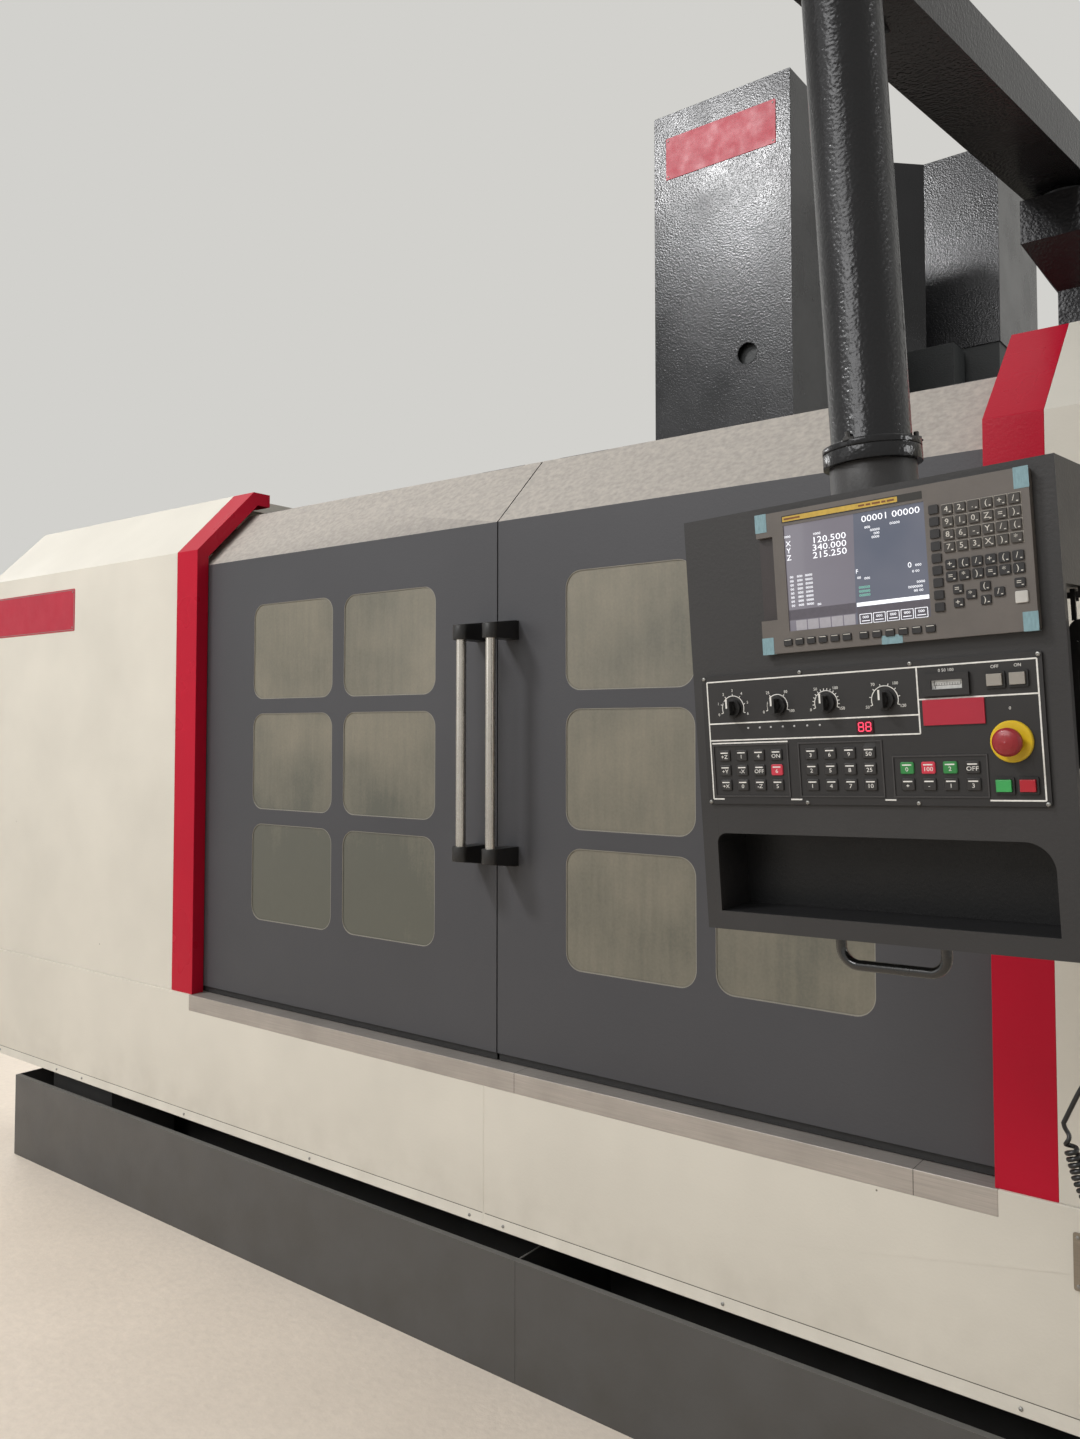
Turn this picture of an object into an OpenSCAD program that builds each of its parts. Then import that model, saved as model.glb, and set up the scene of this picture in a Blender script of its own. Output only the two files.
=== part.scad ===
// Vertical machining center: wide sliding-door enclosure, fixed column, moving saddle and table,
// swinging pendant arm, and a handwheel with a curly cord that hangs beside the pendant.
// Origin: on the floor, under the seam of the two doors, in the plane of the apron's face.
// X runs right along the front, Y into the machine, Z up.

/* [Enclosure] */
// Overall width over both wings
enclosure_w = 5306; // [5290:2:5400]
// Depth from the apron's face to the back of the wings
enclosure_d = 2600; // [2600:5:2630]
// Height of the wings' flat roof
roof_z = 2436; // [2420:2:2470]
// Height at which the wings' front bends back
bend_z = 2204; // [2190:2:2230]
// Depth of the wings' slanted front
slant_d = 227; // [210:1:240]
// Sheet thickness of housings and aprons
sheet_t = 3; // [2:0.5:4]
// Setback of the wings behind the apron's face
wing_set = 6; // [2:1:10]
// Height of the seam between apron and wings
seam_z = 743; // [735:1:750]
// Height of the apron's lower edge
apron_z = 345; // [330:1:355]
// Height of the apron's screwed foot flange
flange_h = 27; // [20:1:35]
// Outward flare of that flange
flange_flare = 6; // [3:1:10]
// Distance from the door seam to a red trim
trim_x = 1256; // [1250:1:1262]
// Width of a red trim
trim_w = 112; // [90:1:130]
// Depth of a trim's inner return
trim_d = 44; // [35:1:45]
// Length of a trim's tail on the roof
trim_tail = 70; // [50:5:120]
// Height of the stainless sill strip
sill_h = 51; // [40:1:60]

/* [Doors] */
// Distance from the apron's face to the doors' face
door_y = 52; // [50:1:56]
// Depth of a door's folded edge
door_t = 38; // [30:1:42]
// Width of the seam between the doors
door_seam = 4; // [2:1:8]
// Reach of each door behind its trim
door_lap = 44; // [30:1:60]
// Height of the doors' lower edge
door_foot_z = 764; // [758:1:775]
// Height at which the doors bend back
door_bend_z = 2158; // [2140:1:2170]
// Height of the doors' top edge
door_top_z = 2358; // [2345:1:2365]
// Depth of the doors' slanted top
door_slant_d = 197; // [190:1:205]
// Width of one window
window_w = 371; // [340:1:380]
// Height of one window
window_h = 302; // [280:1:310]
// Distance from the door seam to the first window
window_x = 223; // [200:1:240]
// Height of the lowest window
window_z = 1008; // [990:1:1020]
// Distance between window columns
window_pitch_x = 420; // [415:1:430]
// Distance between window rows
window_pitch_z = 348; // [345:1:355]
// Corner radius of a window
window_r = 45; // [20:1:60]
// Thickness of a window pane
pane_t = 8; // [5:1:12]
// Lap of a pane behind its window's edge
pane_lap = 18; // [10:1:20]
// Distance of a handle from the door seam
handle_x = 50; // [45:1:60]
// Diameter of a handle's tube
handle_d = 27; // [22:1:32]
// Distance of a handle's tube from the door's face
handle_reach = 88; // [70:1:100]
// Height of a handle's lower end
handle_z = 1253; // [1200:1:1300]
// Length of a handle with its end caps
handle_len = 637; // [500:1:700]
// Height of one end cap
cap_h = 50; // [40:1:60]
// Width of an end cap
cap_w = 44; // [38:1:50]

/* [Machine] */
// Distance from the apron's face to the spindle's axis
spindle_y = 1560; // [1555:1:1565]
// Height of the spindle's nose with the head at the top
nose_z = 2270; // [2260:1:2290]
// Height of the table's top
table_z = 1120; // [1110:1:1130]
// Thickness of the table
table_t = 139.7; // [130:0.1:150]
// Length of the table
table_w = 2400; // [2300:10:2440]
// Depth of the table
table_d = 1000; // [960:10:1010]
// Width of a T-slot's neck
slot_w = 22; // [18:1:24]
// Distance between T-slots
slot_pitch = 165; // [140:1:175]
// Number of T-slots
slot_count = 5; // [3:2:5]
// Height of the bed's way faces
way_z = 760; // [755:1:765]
// Width of the bed
bed_w = 2300; // [2200:10:2400]
// Height of the bed's underside on its feet
bed_z = 120; // [90:1:140]
// Distance from the apron's face to the bed's front
bed_y = 430; // [420:1:450]
// Width of the column
column_w = 1212; // [1180:2:1240]
// Distance from the enclosure's back to the column's cover
column_gap = 40; // [38:1:60]
// Depth of the column with its cover
column_d = 641; // [620:1:680]
// Height of the column's cover
column_z = 4108; // [4080:1:4150]
// Height at which that cover starts
cover_z = 3250; // [3246:1:3280]
// Width of the head's cover
head_cover_w = 550; // [540:1:556]
// Distance from the apron's face to the head's cover
head_cover_y = 1302; // [1280:1:1310]
// Depth of the head's cover
head_cover_d = 700; // [600:1:720]
// Height of the head's cover
head_cover_z = 3905; // [3880:1:3950]
// Diameter of a ball screw
screw_d = 50; // [40:1:55]
// Running clearance of round bearings
run_gap = 0.05; // [0.02:0.01:0.1]
// Clearance of sliding faces
slide_gap = 0.3; // [0.2:0.05:0.5]

/* [Coolant tank] */
// Distance from the door seam to a tank's outer end
tank_x = 2317; // [2300:1:2400]
// Position of the seam between the tanks
tank_seam = 123; // [0:1:200]
// Height of the tanks
tank_h = 296; // [280:1:310]
// Distance of the tanks' face in front of the apron's face
tank_out = 25; // [15:1:40]
// Depth of the tanks
tank_d = 440; // [420:1:450]

/* [Pendant arm] */
// Position of the arm's pivot along X
pivot_x = 1356; // [1346:1:1366]
// Position of the arm's pivot along Y
pivot_y = 290; // [285:1:300]
// Height of the beam's underside
beam_z = 2720; // [2715:1:2750]
// Width of the beam
beam_w = 131; // [128:1:150]
// Height of the beam
beam_h = 98; // [80:1:120]
// Distance from the pivot to the post
beam_len = 931; // [900:1:960]
// Turn of the beam away from the machine's depth, in degrees
beam_turn = 7.2; // [0:0.1:15]
// Diameter of the post
post_d = 117; // [100:1:122]
// Length of the post from the beam to the pendant's top
post_len = 776; // [700:1:800]
// Turn of the pendant about the post, in degrees
pendant_turn = -3.9; // [-10:0.1:10]
// Forward lean of the drooping post, in degrees
pendant_lean = 2.8; // [0:0.1:4]
// Sideways lean of the drooping post, in degrees
pendant_roll = 2; // [0:0.1:4]

/* [Pendant] */
// Width of the pendant's box
box_w = 558; // [556:1:600]
// Height of the pendant's box
box_h = 640; // [636:1:700]
// Depth of the box behind the display
box_d = 190; // [180:1:220]
// Depth of the box behind the operator panel
box_low_d = 130; // [125:1:150]
// Height at which the box gets deeper
box_step_z = 476; // [472:1:485]
// Depth of the folded rim round the box's face
box_rim = 12; // [8:1:16]
// Distance of the lower box from the face's edges
box_inset = 38; // [36:1:42]
// Distance of the post's axis behind the box's face
post_set = 92; // [88:1:100]
// Width of the display unit
display_w = 394; // [388:1:398]
// Height of the display unit
display_h = 209; // [200:1:212]
// Position of the display unit across the box
display_x = 135; // [130:1:136]
// Position of the display unit up the box
display_z = 419; // [415:1:424]
// Height of the display unit above the box's face
display_out = 12; // [8:1:16]
// Width of the operator panel
panel_w = 510; // [500:1:515]
// Height of the operator panel
panel_h = 198; // [190:1:200]
// Position of the operator panel across the box
panel_x = 17.5; // [15:0.5:22]
// Position of the operator panel up the box
panel_z = 195; // [190:1:200]
// Thickness of the operator panel
panel_t = 4; // [3:0.5:6]
// Diameter of a rotary knob's skirt
knob_d = 28; // [22:1:32]
// Travel of a push button
press = 4; // [2:0.5:5]
// Diameter of the emergency stop's head
stop_d = 37; // [35:1:44]
// Width of the tray's mouth
tray_w = 500; // [480:1:510]
// Height of the tray's mouth
tray_h = 121; // [110:1:125]
// Depth of the tray
tray_d = 85; // [75:1:92]
// Diameter of the pendant's grab tube
grab_d = 16; // [14:1:20]
// Distance between the legs of the grab tube
grab_w = 158; // [140:1:180]

/* [Handwheel] */
// Overlap of the handwheel's case behind the edge of the pendant's face
wheel_in = 20; // [16:1:22]
// Distance of the handwheel's case below the deep part of the pendant's box
wheel_drop = 43; // [40:1:50]
// Width of the handwheel's case
wheel_w = 88; // [86:1:100]
// Height of the handwheel's case
wheel_h = 205; // [195:1:205]
// Thickness of the handwheel's case
wheel_t = 48; // [40:1:55]
// Diameter of the handwheel's dial
dial_d = 62; // [50:1:70]
// Diameter of the handwheel's cord
cord_d = 6; // [5:1:7]
// Outer diameter of the cord's curl
curl_d = 20; // [18:1:22]

/* [Socket] */
// Position of the socket's centre along X
socket_x = 1430; // [1425:1:1440]
// Height of the socket's centre
socket_z = 650; // [645:1:655]
// Width of the socket's plate
socket_w = 76; // [70:1:84]
// Height of the socket's plate
socket_h = 102; // [96:1:110]
// Diameter of the socket's bore
socket_d = 26; // [22:1:28]

/* [Hidden] */
$fn = 48;
eps = 1;

white = [0.86, 0.84, 0.79];
dark = [0.28, 0.28, 0.29];
red = [0.71, 0.09, 0.17];
steel = [0.62, 0.60, 0.57];
iron = [0.30, 0.32, 0.33];
black = [0.12, 0.12, 0.12];

half_w = enclosure_w / 2;
column_y = enclosure_d + column_gap;
trim_out = trim_x + trim_w;
slant_a = atan2(roof_z - bend_z, slant_d);
door_slant_a = atan2(door_top_z - door_bend_z, door_slant_d);
door_w = trim_x + door_lap - door_seam / 2;
pan_z = apron_z + flange_h;
rail_w = 60;
rail_z = door_top_z - 30;
rail_clear = 2;
rail_y = door_y + door_t * sin(door_slant_a)
    + (rail_z - door_bend_z + door_t * cos(door_slant_a)) / tan(door_slant_a) + rail_clear;
rail_h = 60;
sill_d = 110;
guide_h = 50;
saddle_t = 170;
saddle_w = 2560;
saddle_d = 1000;
way_h = 50;
way_w = 140;
bed_top = way_z - way_h;
bed_back = column_y + column_d + 19;
bed_way_x = 830;
bump_x = 190;
bump_d = 105;
x_way_y = 360;
x_way_w = 120;
x_way_top = way_z + slide_gap + saddle_t + way_h;
table_foot = table_z - table_t;
x_screw_z = x_way_top - way_h - 45;
y_screw_z = bed_top - 40;
journal_d = screw_d - 10;
nut_l = 160;
nut_r = 60;
screw_wall = 80;
screw_float = 1;
servo_x_w = 160;
servo_w = 170;
servo_l = 300;
servo_z_l = 340;
casting_y = column_y + 6;
servo_room = 68;
casting_top = column_z - servo_z_l - servo_room;
z_way_x = 360;
z_way_w = 120;
z_way_h = 46;
z_way_z = 1150;
z_screw_y = casting_y + 69;
carriage_y = casting_y - z_way_h - slide_gap;
carriage_t = 120;
carriage_z = nose_z - 20;
carriage_h = cover_z - 20 - carriage_z;
head_w = 480;
spindle_motor_w = 300;
spindle_motor_h = 440;
fan_h = 60;
head_y = head_cover_y + 28;
spindle_d = 130;
frame_x = -490;
frame_w = 110;
magazine_z = 2350;
magazine_r = 380;
pot_count = 24;
pot_l = 125;
frame_reach = casting_y - spindle_y;
frame_lug = 90;
frame_core_d = 170;
arm_r = 385;
arm_z = 1890;
arm_t = 40;
arm_head_d = 120;
arm_shaft_l = 190;
box_sheet = 3;
hub_h = 28;
pivot_d = 60;
flange_d = 143;
ring_h = 20;
swivel_d = 70;
tray_x = (box_w - tray_w) / 2 - 3;
tray_z = 28;
low_z = 20;
hook_y = 90;
hook_t = 10;
bar_z = box_step_z - 14;
bar_h = 8;
wheel_x = box_w - wheel_in;
wheel_top = box_step_z - wheel_drop;
wheel_z = wheel_top - wheel_h;
wheel_y = hook_y - 10;
wheel_cx = wheel_x + wheel_w / 2;
gland_y = 112;
gland_z = 60;
socket_depth = 12;
flange_z = box_h + 49;
key_pitch_x = 29.8;
key_pitch_z = 22.6;
key_w = 18.5;
key_h = 16;
key_out = 1.6;
stop_x = 484;
stop_z = 279;
meter_z = 360;
screen_x = 45.5;
screen_z = 31;
screen_w = 212;
screen_h = 156;
screen_set = 2;
KNOB_X = [71.5, 148, 227, 316];
knob_z = 342;
KEY_BLOCK_X = [52, 198.5, 342];
POWER_X = [468, 497];
CYCLE_X = [471, 501];
cycle_w = 20;
cycle_z = 222;
bush_d = 9;
CURSOR_KEYS = [[289.9, 57.4], [289.9, 39.4], [306.8, 48.7], [325.3, 57.4], [325.3, 39.4],
    [342.8, 47.7], [369, 56.4]];

// The handwheel's cord in the pendant's frame: the straight lead from the case, then the curl's
// centre line to the gland on the lower box
LEAD_ROUTE = [[582, 104, 216], [582, 104, 190], [583, 101, 140], [584, 94, 85], [583, 82, 30],
    [580, 66, -25], [571, 50, -80], [556, 39, -120], [541, 34, -145], [526, 30, -170],
    [514, 28, -194], [503, 26, -217]];
CURL_ROUTE = [[505, 26, -219], [511, 26, -243], [516, 26, -267], [522, 26, -291], [538, 27, -327],
    [562, 29, -357], [590, 33, -378], [622, 37, -384], [652, 42, -370], [674, 48, -338],
    [684, 56, -293], [686, 68, -228], [680, 82, -152], [664, 95, -82], [640, 105, -20],
    [612, 110, 28], [584, 112, 54], [562, 112, 60], [542, 112, 60]];

// Solid box between two corners
module span(lo, hi) {
    translate(lo) cube(hi - lo);
}

// Extrudes a (Y, Z) section from x0 to x1
module along_x(x0, x1) {
    translate([x0, 0, 0]) rotate([90, 0, 90]) linear_extrude(x1 - x0) children();
}

// Extrudes an (X, Z) section from y0 to y1
module along_y(y0, y1) {
    translate([0, y1, 0]) rotate([90, 0, 0]) linear_extrude(y1 - y0) children();
}

module both_sides() {
    children();
    mirror([1, 0, 0]) children();
}

// Rounded rectangle from its lower left corner
module rounded(w, h, r) {
    translate([r, 0]) square([w - 2 * r, h]);
    translate([0, r]) square([w, h - 2 * r]);
    for (x = [r, w - r], y = [r, h - r]) translate([x, y]) circle(r);
}

// Servo motor along +Z from its flange: square body, flange, rear encoder cap and connector box
module servo(size, len) {
    translate([-size / 2, -size / 2, 0]) cube([size, size, 16]);
    translate([0, 0, 16]) linear_extrude(len - 76) translate([-size / 2 + 6, -size / 2 + 6])
        rounded(size - 12, size - 12, 16);
    translate([0, 0, len - 60]) cylinder(d = size - 30, h = 60);
    translate([-size / 4, size / 2 - 6, len - 150]) cube([size / 2, 34, 60]);
}

// Section of a wing's front, slant and roof, d inside its outer face
function bend_at(d) = bend_z - d * cos(slant_a) + d * (1 - sin(slant_a)) * tan(slant_a);
function roof_at(d) = wing_set + d * sin(slant_a)
    + (roof_z - bend_z - d * (1 - cos(slant_a))) / tan(slant_a);

module wing_section(d, back, low) {
    polygon([[wing_set + d, low], [wing_set + d, bend_at(d)], [roof_at(d), roof_z - d],
        [back, roof_z - d], [back, low]]);
}

module housing() {
    lip = 40;
    difference() {
        along_x(trim_out, half_w) wing_section(0, enclosure_d, seam_z);
        along_x(trim_out - eps, half_w - sheet_t)
            wing_section(sheet_t, enclosure_d - sheet_t, seam_z - eps);
    }
    span([trim_out, roof_at(sheet_t) + 60, roof_z - lip],
        [trim_out + sheet_t, enclosure_d - sheet_t, roof_z - sheet_t]);
    span([trim_out, enclosure_d - lip, seam_z],
        [trim_out + sheet_t, enclosure_d - sheet_t, roof_z - lip]);
}

module housing_right() {
    color(white) housing();
}

module housing_left() {
    color(white) mirror([1, 0, 0]) housing();
}

// Folded channel: face, and a return along each edge
module red_trim() {
    tail = roof_at(0) + trim_tail;
    difference() {
        along_x(trim_x, trim_out) difference() {
            wing_section(0, tail, seam_z);
            wing_section(trim_d, tail + eps, seam_z - eps);
        }
        along_x(trim_x + sheet_t, trim_out - sheet_t) difference() {
            wing_section(sheet_t, tail - sheet_t, seam_z + sheet_t);
            wing_section(trim_d + eps, tail, seam_z);
        }
    }
}

module red_trims() {
    color(red) both_sides() red_trim();
}

// Front sheet with its flared foot flange, side sheet and the floor pan round the bed
module apron() {
    drain_y = 60;
    drain_d = 270;
    along_x(0, half_w) polygon([[0, seam_z], [0, pan_z], [-flange_flare, apron_z],
        [sheet_t - flange_flare, apron_z], [sheet_t, pan_z], [sheet_t, seam_z]]);
    span([half_w - sheet_t, sheet_t, apron_z], [half_w, enclosure_d, seam_z]);
    span([trim_x + 7, sheet_t, seam_z - sheet_t], [half_w - sheet_t, wing_set + sheet_t, seam_z]);
    difference() {
        span([0, sheet_t, pan_z], [half_w - sheet_t, enclosure_d, pan_z + sheet_t]);
        span([-eps, bed_y, pan_z - eps], [bed_w / 2, enclosure_d + eps, pan_z + sheet_t + eps]);
        span([bed_w / 2, drain_y, pan_z - eps],
            [tank_x - 100, drain_y + drain_d, pan_z + sheet_t + eps]);
    }
}

// The sill strip's notch in an apron
module sill_notch() {
    span([-eps, -eps, seam_z - sill_h], [trim_x + 7, sheet_t + eps, seam_z + eps]);
}

module apron_right() {
    color(white) difference() {
        apron();
        sill_notch();
        translate([socket_x, 0, socket_z]) rotate([90, 0, 0])
            cylinder(d = socket_d + 14, h = 4 * sheet_t, center = true);
    }
}

module apron_left() {
    color(white) mirror([1, 0, 0]) difference() {
        apron();
        sill_notch();
    }
}

// Stainless strip, ledge under the doors and the guide rib behind them
module door_sill() {
    end = trim_x + 7;
    rib_y = door_y + door_t + slide_gap;
    color(steel) {
        along_x(-end, end) polygon([[0, seam_z], [0, seam_z - sill_h],
            [sheet_t, seam_z - sill_h], [sheet_t, seam_z - sheet_t],
            [sill_d - sheet_t, seam_z - sheet_t], [sill_d - sheet_t, seam_z - sill_h],
            [sill_d, seam_z - sill_h], [sill_d, seam_z]]);
        span([-end, rib_y, seam_z], [end, rib_y + sheet_t, seam_z + guide_h]);
    }
}

// Beam across the top on which the doors' shoes run, held between the wings' end walls
module top_rail() {
    color(steel) difference() {
        span([-half_w + sheet_t, rail_y, rail_z - rail_h],
            [half_w - sheet_t, rail_y + rail_w, rail_z]);
        span([-half_w + 60, rail_y + 5, rail_z - rail_h - eps],
            [half_w - 60, rail_y + rail_w - 5, rail_z - 5]);
    }
}

module rear_wall() {
    gap_x = column_w / 2 + 14;
    gap_z = table_z + 10;
    color(white) difference() {
        span([-trim_out, enclosure_d - sheet_t, way_z], [trim_out, enclosure_d, roof_z]);
        span([-gap_x, enclosure_d - 2 * sheet_t, gap_z],
            [gap_x, enclosure_d + sheet_t, roof_z + eps]);
    }
}

// Free-standing cabinet on a plinth at the back of the right wing, with two door leaves
module electrical_cabinet() {
    x0 = 1400;
    w = 1100;
    d = 480;
    h = 2050;
    color(white) difference() {
        union() {
            span([x0, enclosure_d, 100], [x0 + w, enclosure_d + d, h]);
            span([x0 + 20, enclosure_d + 20, 0], [x0 + w - 20, enclosure_d + d - 30, 100]);
            for (i = [0, 1])
                span([x0 + 10 + i * w / 2, enclosure_d + d, 130],
                    [x0 + w / 2 - 10 + i * w / 2, enclosure_d + d + 18, h - 30]);
        }
        for (i = [0 : 9])
            span([x0 - eps, enclosure_d + 120, 1600 + i * 30],
                [x0 + 6, enclosure_d + d - 120, 1612 + i * 30]);
    }
}

// Section of a door, d inside its outer face
function door_bend_at(d) = door_bend_z - d * cos(door_slant_a)
    + d * (1 - sin(door_slant_a)) * tan(door_slant_a);
function door_top_at(d) = door_y + d * sin(door_slant_a)
    + (door_top_z - door_bend_z + d * cos(door_slant_a)) / tan(door_slant_a);

module door_section(d, low) {
    polygon([[door_y + d, low], [door_y + d, door_bend_at(d)], [door_top_at(d), door_top_z],
        [door_y - eps * 99, door_top_z], [door_y - eps * 99, low]]);
}

// Layer of a door between two depths
module door_layer(d0, d1, low, high) {
    difference() {
        intersection() {
            door_section(d1, low);
            square([2 * rail_y, high]);
        }
        door_section(d0, low - eps);
    }
}

module windows(grow, y0, y1) {
    along_y(y0, y1) for (i = [0, 1], j = [0 : 2])
        translate([window_x + i * window_pitch_x - grow, window_z + j * window_pitch_z - grow])
            rounded(window_w + 2 * grow, window_h + 2 * grow, window_r);
}

// Folded door leaf with edge returns all round, window cut-outs, mid rail and two hanger shoes
module door() {
    x0 = door_seam / 2;
    x1 = x0 + door_w;
    shoe_l = 160;
    difference() {
        along_x(x0, x1) door_layer(0, door_t, door_foot_z, door_top_z);
        along_x(x0 + sheet_t, x1 - sheet_t)
            door_layer(sheet_t, door_t + eps, door_foot_z + sheet_t, door_top_z - sheet_t);
        windows(0, door_y - eps, door_y + sheet_t + eps);
    }
    for (x = [x0 + 60, x1 - 60 - shoe_l]) {
        span([x, door_top_at(0) - eps, door_top_z - sheet_t],
            [x + shoe_l, rail_y + rail_w + slide_gap + 8, door_top_z]);
        span([x, rail_y, rail_z + slide_gap], [x + shoe_l, rail_y + rail_w, door_top_z]);
        span([x, rail_y + rail_w + slide_gap, rail_z - 20],
            [x + shoe_l, rail_y + rail_w + slide_gap + 8, door_top_z]);
    }
}

module door_right() {
    color(dark) door();
}

module door_left() {
    color(dark) mirror([1, 0, 0]) door();
}

module panes() {
    windows(pane_lap, door_y + sheet_t, door_y + sheet_t + pane_t);
}

module panes_right() {
    color([0.55, 0.54, 0.45, 0.8]) panes();
}

module panes_left() {
    color([0.55, 0.54, 0.45, 0.8]) mirror([1, 0, 0]) panes();
}

module handle_tube() {
    translate([handle_x, door_y - handle_reach, handle_z + cap_h - socket_depth])
        cylinder(d = handle_d, h = handle_len - 2 * (cap_h - socket_depth));
}

// Racetrack cap with a sloping end face, standing on the door's face
module handle_cap() {
    r = cap_w / 2;
    difference() {
        intersection() {
            translate([0, 0, handle_z]) linear_extrude(cap_h) {
                translate([handle_x, door_y - handle_reach]) circle(r);
                translate([handle_x - r, door_y - handle_reach]) square([cap_w, handle_reach]);
            }
            along_x(0, handle_x + cap_w) polygon([[door_y - handle_reach - r, handle_z + 14],
                [door_y, handle_z], [door_y, handle_z + cap_h],
                [door_y - handle_reach - r, handle_z + cap_h]]);
        }
        translate([handle_x, door_y - handle_reach, handle_z + cap_h - socket_depth])
            cylinder(d = handle_d + 0.2, h = socket_depth + eps);
    }
}

module handle_caps() {
    handle_cap();
    translate([0, 0, 2 * handle_z + handle_len]) mirror([0, 0, 1]) handle_cap();
}

module handle_tube_right() {
    color(steel) handle_tube();
}

module handle_tube_left() {
    color(steel) mirror([1, 0, 0]) handle_tube();
}

module handle_caps_right() {
    color(black) handle_caps();
}

module handle_caps_left() {
    color(black) mirror([1, 0, 0]) handle_caps();
}

// Open tray of sheet with a folded rim, and the strainer box at its outer end
module coolant_tank(x0, x1, strainer) {
    rim = 18;
    y0 = -tank_out;
    y1 = tank_d - tank_out - 20;
    difference() {
        span([x0, y0, 0], [x1, y1, tank_h]);
        span([x0 + sheet_t, y0 + sheet_t, sheet_t], [x1 - sheet_t, y1 - sheet_t, tank_h + eps]);
    }
    span([x0 + sheet_t, y0 + sheet_t, tank_h - sheet_t],
        [x1 - sheet_t, y0 + rim, tank_h]);
    if (strainer)
        difference() {
            span([x0 + 122, 60, sheet_t], [x0 + 517, 320, pan_z - slide_gap]);
            span([x0 + 122 + sheet_t, 60 + sheet_t, tank_h - 60],
                [x0 + 517 - sheet_t, 320 - sheet_t, pan_z]);
        }
}

module coolant_tank_left() {
    color(dark) coolant_tank(-tank_x, tank_seam, true);
}

module coolant_tank_right() {
    color(dark) coolant_tank(tank_seam, tank_x, false);
}

// Ribbed casting with two box ways, a channel for the Y screw and core windows in its sides
module bed() {
    channel = 190;
    color(iron) difference() {
        union() {
            span([-bed_w / 2, bed_y, bed_z], [bed_w / 2, bed_back, bed_top]);
            both_sides() span([bed_way_x - way_w / 2, bed_y, bed_top],
                [bed_way_x + way_w / 2, enclosure_d - sheet_t, way_z]);
            span([-column_w / 2, casting_y, bed_top], [column_w / 2, bed_back, way_z]);
            both_sides() span([bed_way_x - way_w / 2, enclosure_d - sheet_t, bed_top],
                [bed_w / 2, enclosure_d, way_z]);
        }
        span([-channel / 2, bed_y + 90, y_screw_z - 90],
            [channel / 2, enclosure_d - 60, bed_top + eps]);
        translate([0, bed_y, y_screw_z]) rotate([-90, 0, 0])
            translate([0, 0, -eps]) cylinder(d = journal_d + 2 * run_gap, h = 90 + 2 * eps);
        translate([0, enclosure_d - 60 - eps, y_screw_z]) rotate([-90, 0, 0])
            cylinder(d = journal_d + 2 * run_gap, h = 61 + eps);
        both_sides() for (y = [bed_y + 260 : 420 : bed_back - 200])
            translate([bed_w / 2 - 120, y, (bed_z + bed_top) / 2]) rotate([0, 90, 0])
                cylinder(d = 240, h = 121);
        for (x = [-780, -390, 390, 780])
            translate([x, bed_y - eps, (bed_z + bed_top) / 2 - 20]) rotate([-90, 0, 0])
                cylinder(d = 200, h = 120);
    }
}

module levelling_feet() {
    color(steel) for (x = [-bed_w / 2 + 110, 0, bed_w / 2 - 110], i = [0 : 3])
        translate([x, bed_y + 110 + i * (bed_back - bed_y - 220) / 3, 0]) {
            cylinder(d = 160, h = 30);
            translate([0, 0, 30]) cylinder(d1 = 110, d2 = 70, h = 16, $fn = 48);
            cylinder(d = 42, h = bed_z);
            translate([0, 0, bed_z - 34]) cylinder(d = 64, h = 24, $fn = 6);
        }
}

// Cross slide: pads on the bed's ways, two box ways for the table, a channel for the X screw
module saddle() {
    y0 = spindle_y - saddle_d / 2;
    y1 = spindle_y + saddle_d / 2;
    z0 = way_z + slide_gap;
    z1 = z0 + saddle_t;
    end = saddle_w / 2;
    channel = 180;
    color(iron) difference() {
        union() {
            along_y(y0, y1) polygon([[-end, z0 + 70], [-end, z1], [end, z1], [end, z0 + 70],
                [bed_way_x + 160, z0], [-bed_way_x - 160, z0]]);
            for (y = [spindle_y - x_way_y, spindle_y + x_way_y])
                span([-end, y - x_way_w / 2, z1], [end, y + x_way_w / 2, x_way_top]);
            both_sides() span([bed_way_x + way_w / 2 + slide_gap, y0, z0 - 34],
                [bed_way_x + way_w / 2 + slide_gap + 40, y1, z0]);
            span([-nut_r - 10, spindle_y - nut_l / 2, y_screw_z - nut_r],
                [nut_r + 10, spindle_y + nut_l / 2, z0]);
        }
        span([-end + screw_wall, spindle_y - channel / 2, x_screw_z - 75],
            [end - screw_wall, spindle_y + channel / 2, z1 + eps]);
        translate([-end + 10, spindle_y, x_screw_z]) rotate([0, 90, 0])
            cylinder(d = journal_d + 2 * run_gap, h = 2 * end);
        translate([0, spindle_y - nut_l, y_screw_z]) rotate([-90, 0, 0])
            cylinder(d = screw_d + 2 * run_gap, h = 2 * nut_l);
    }
}

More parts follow.
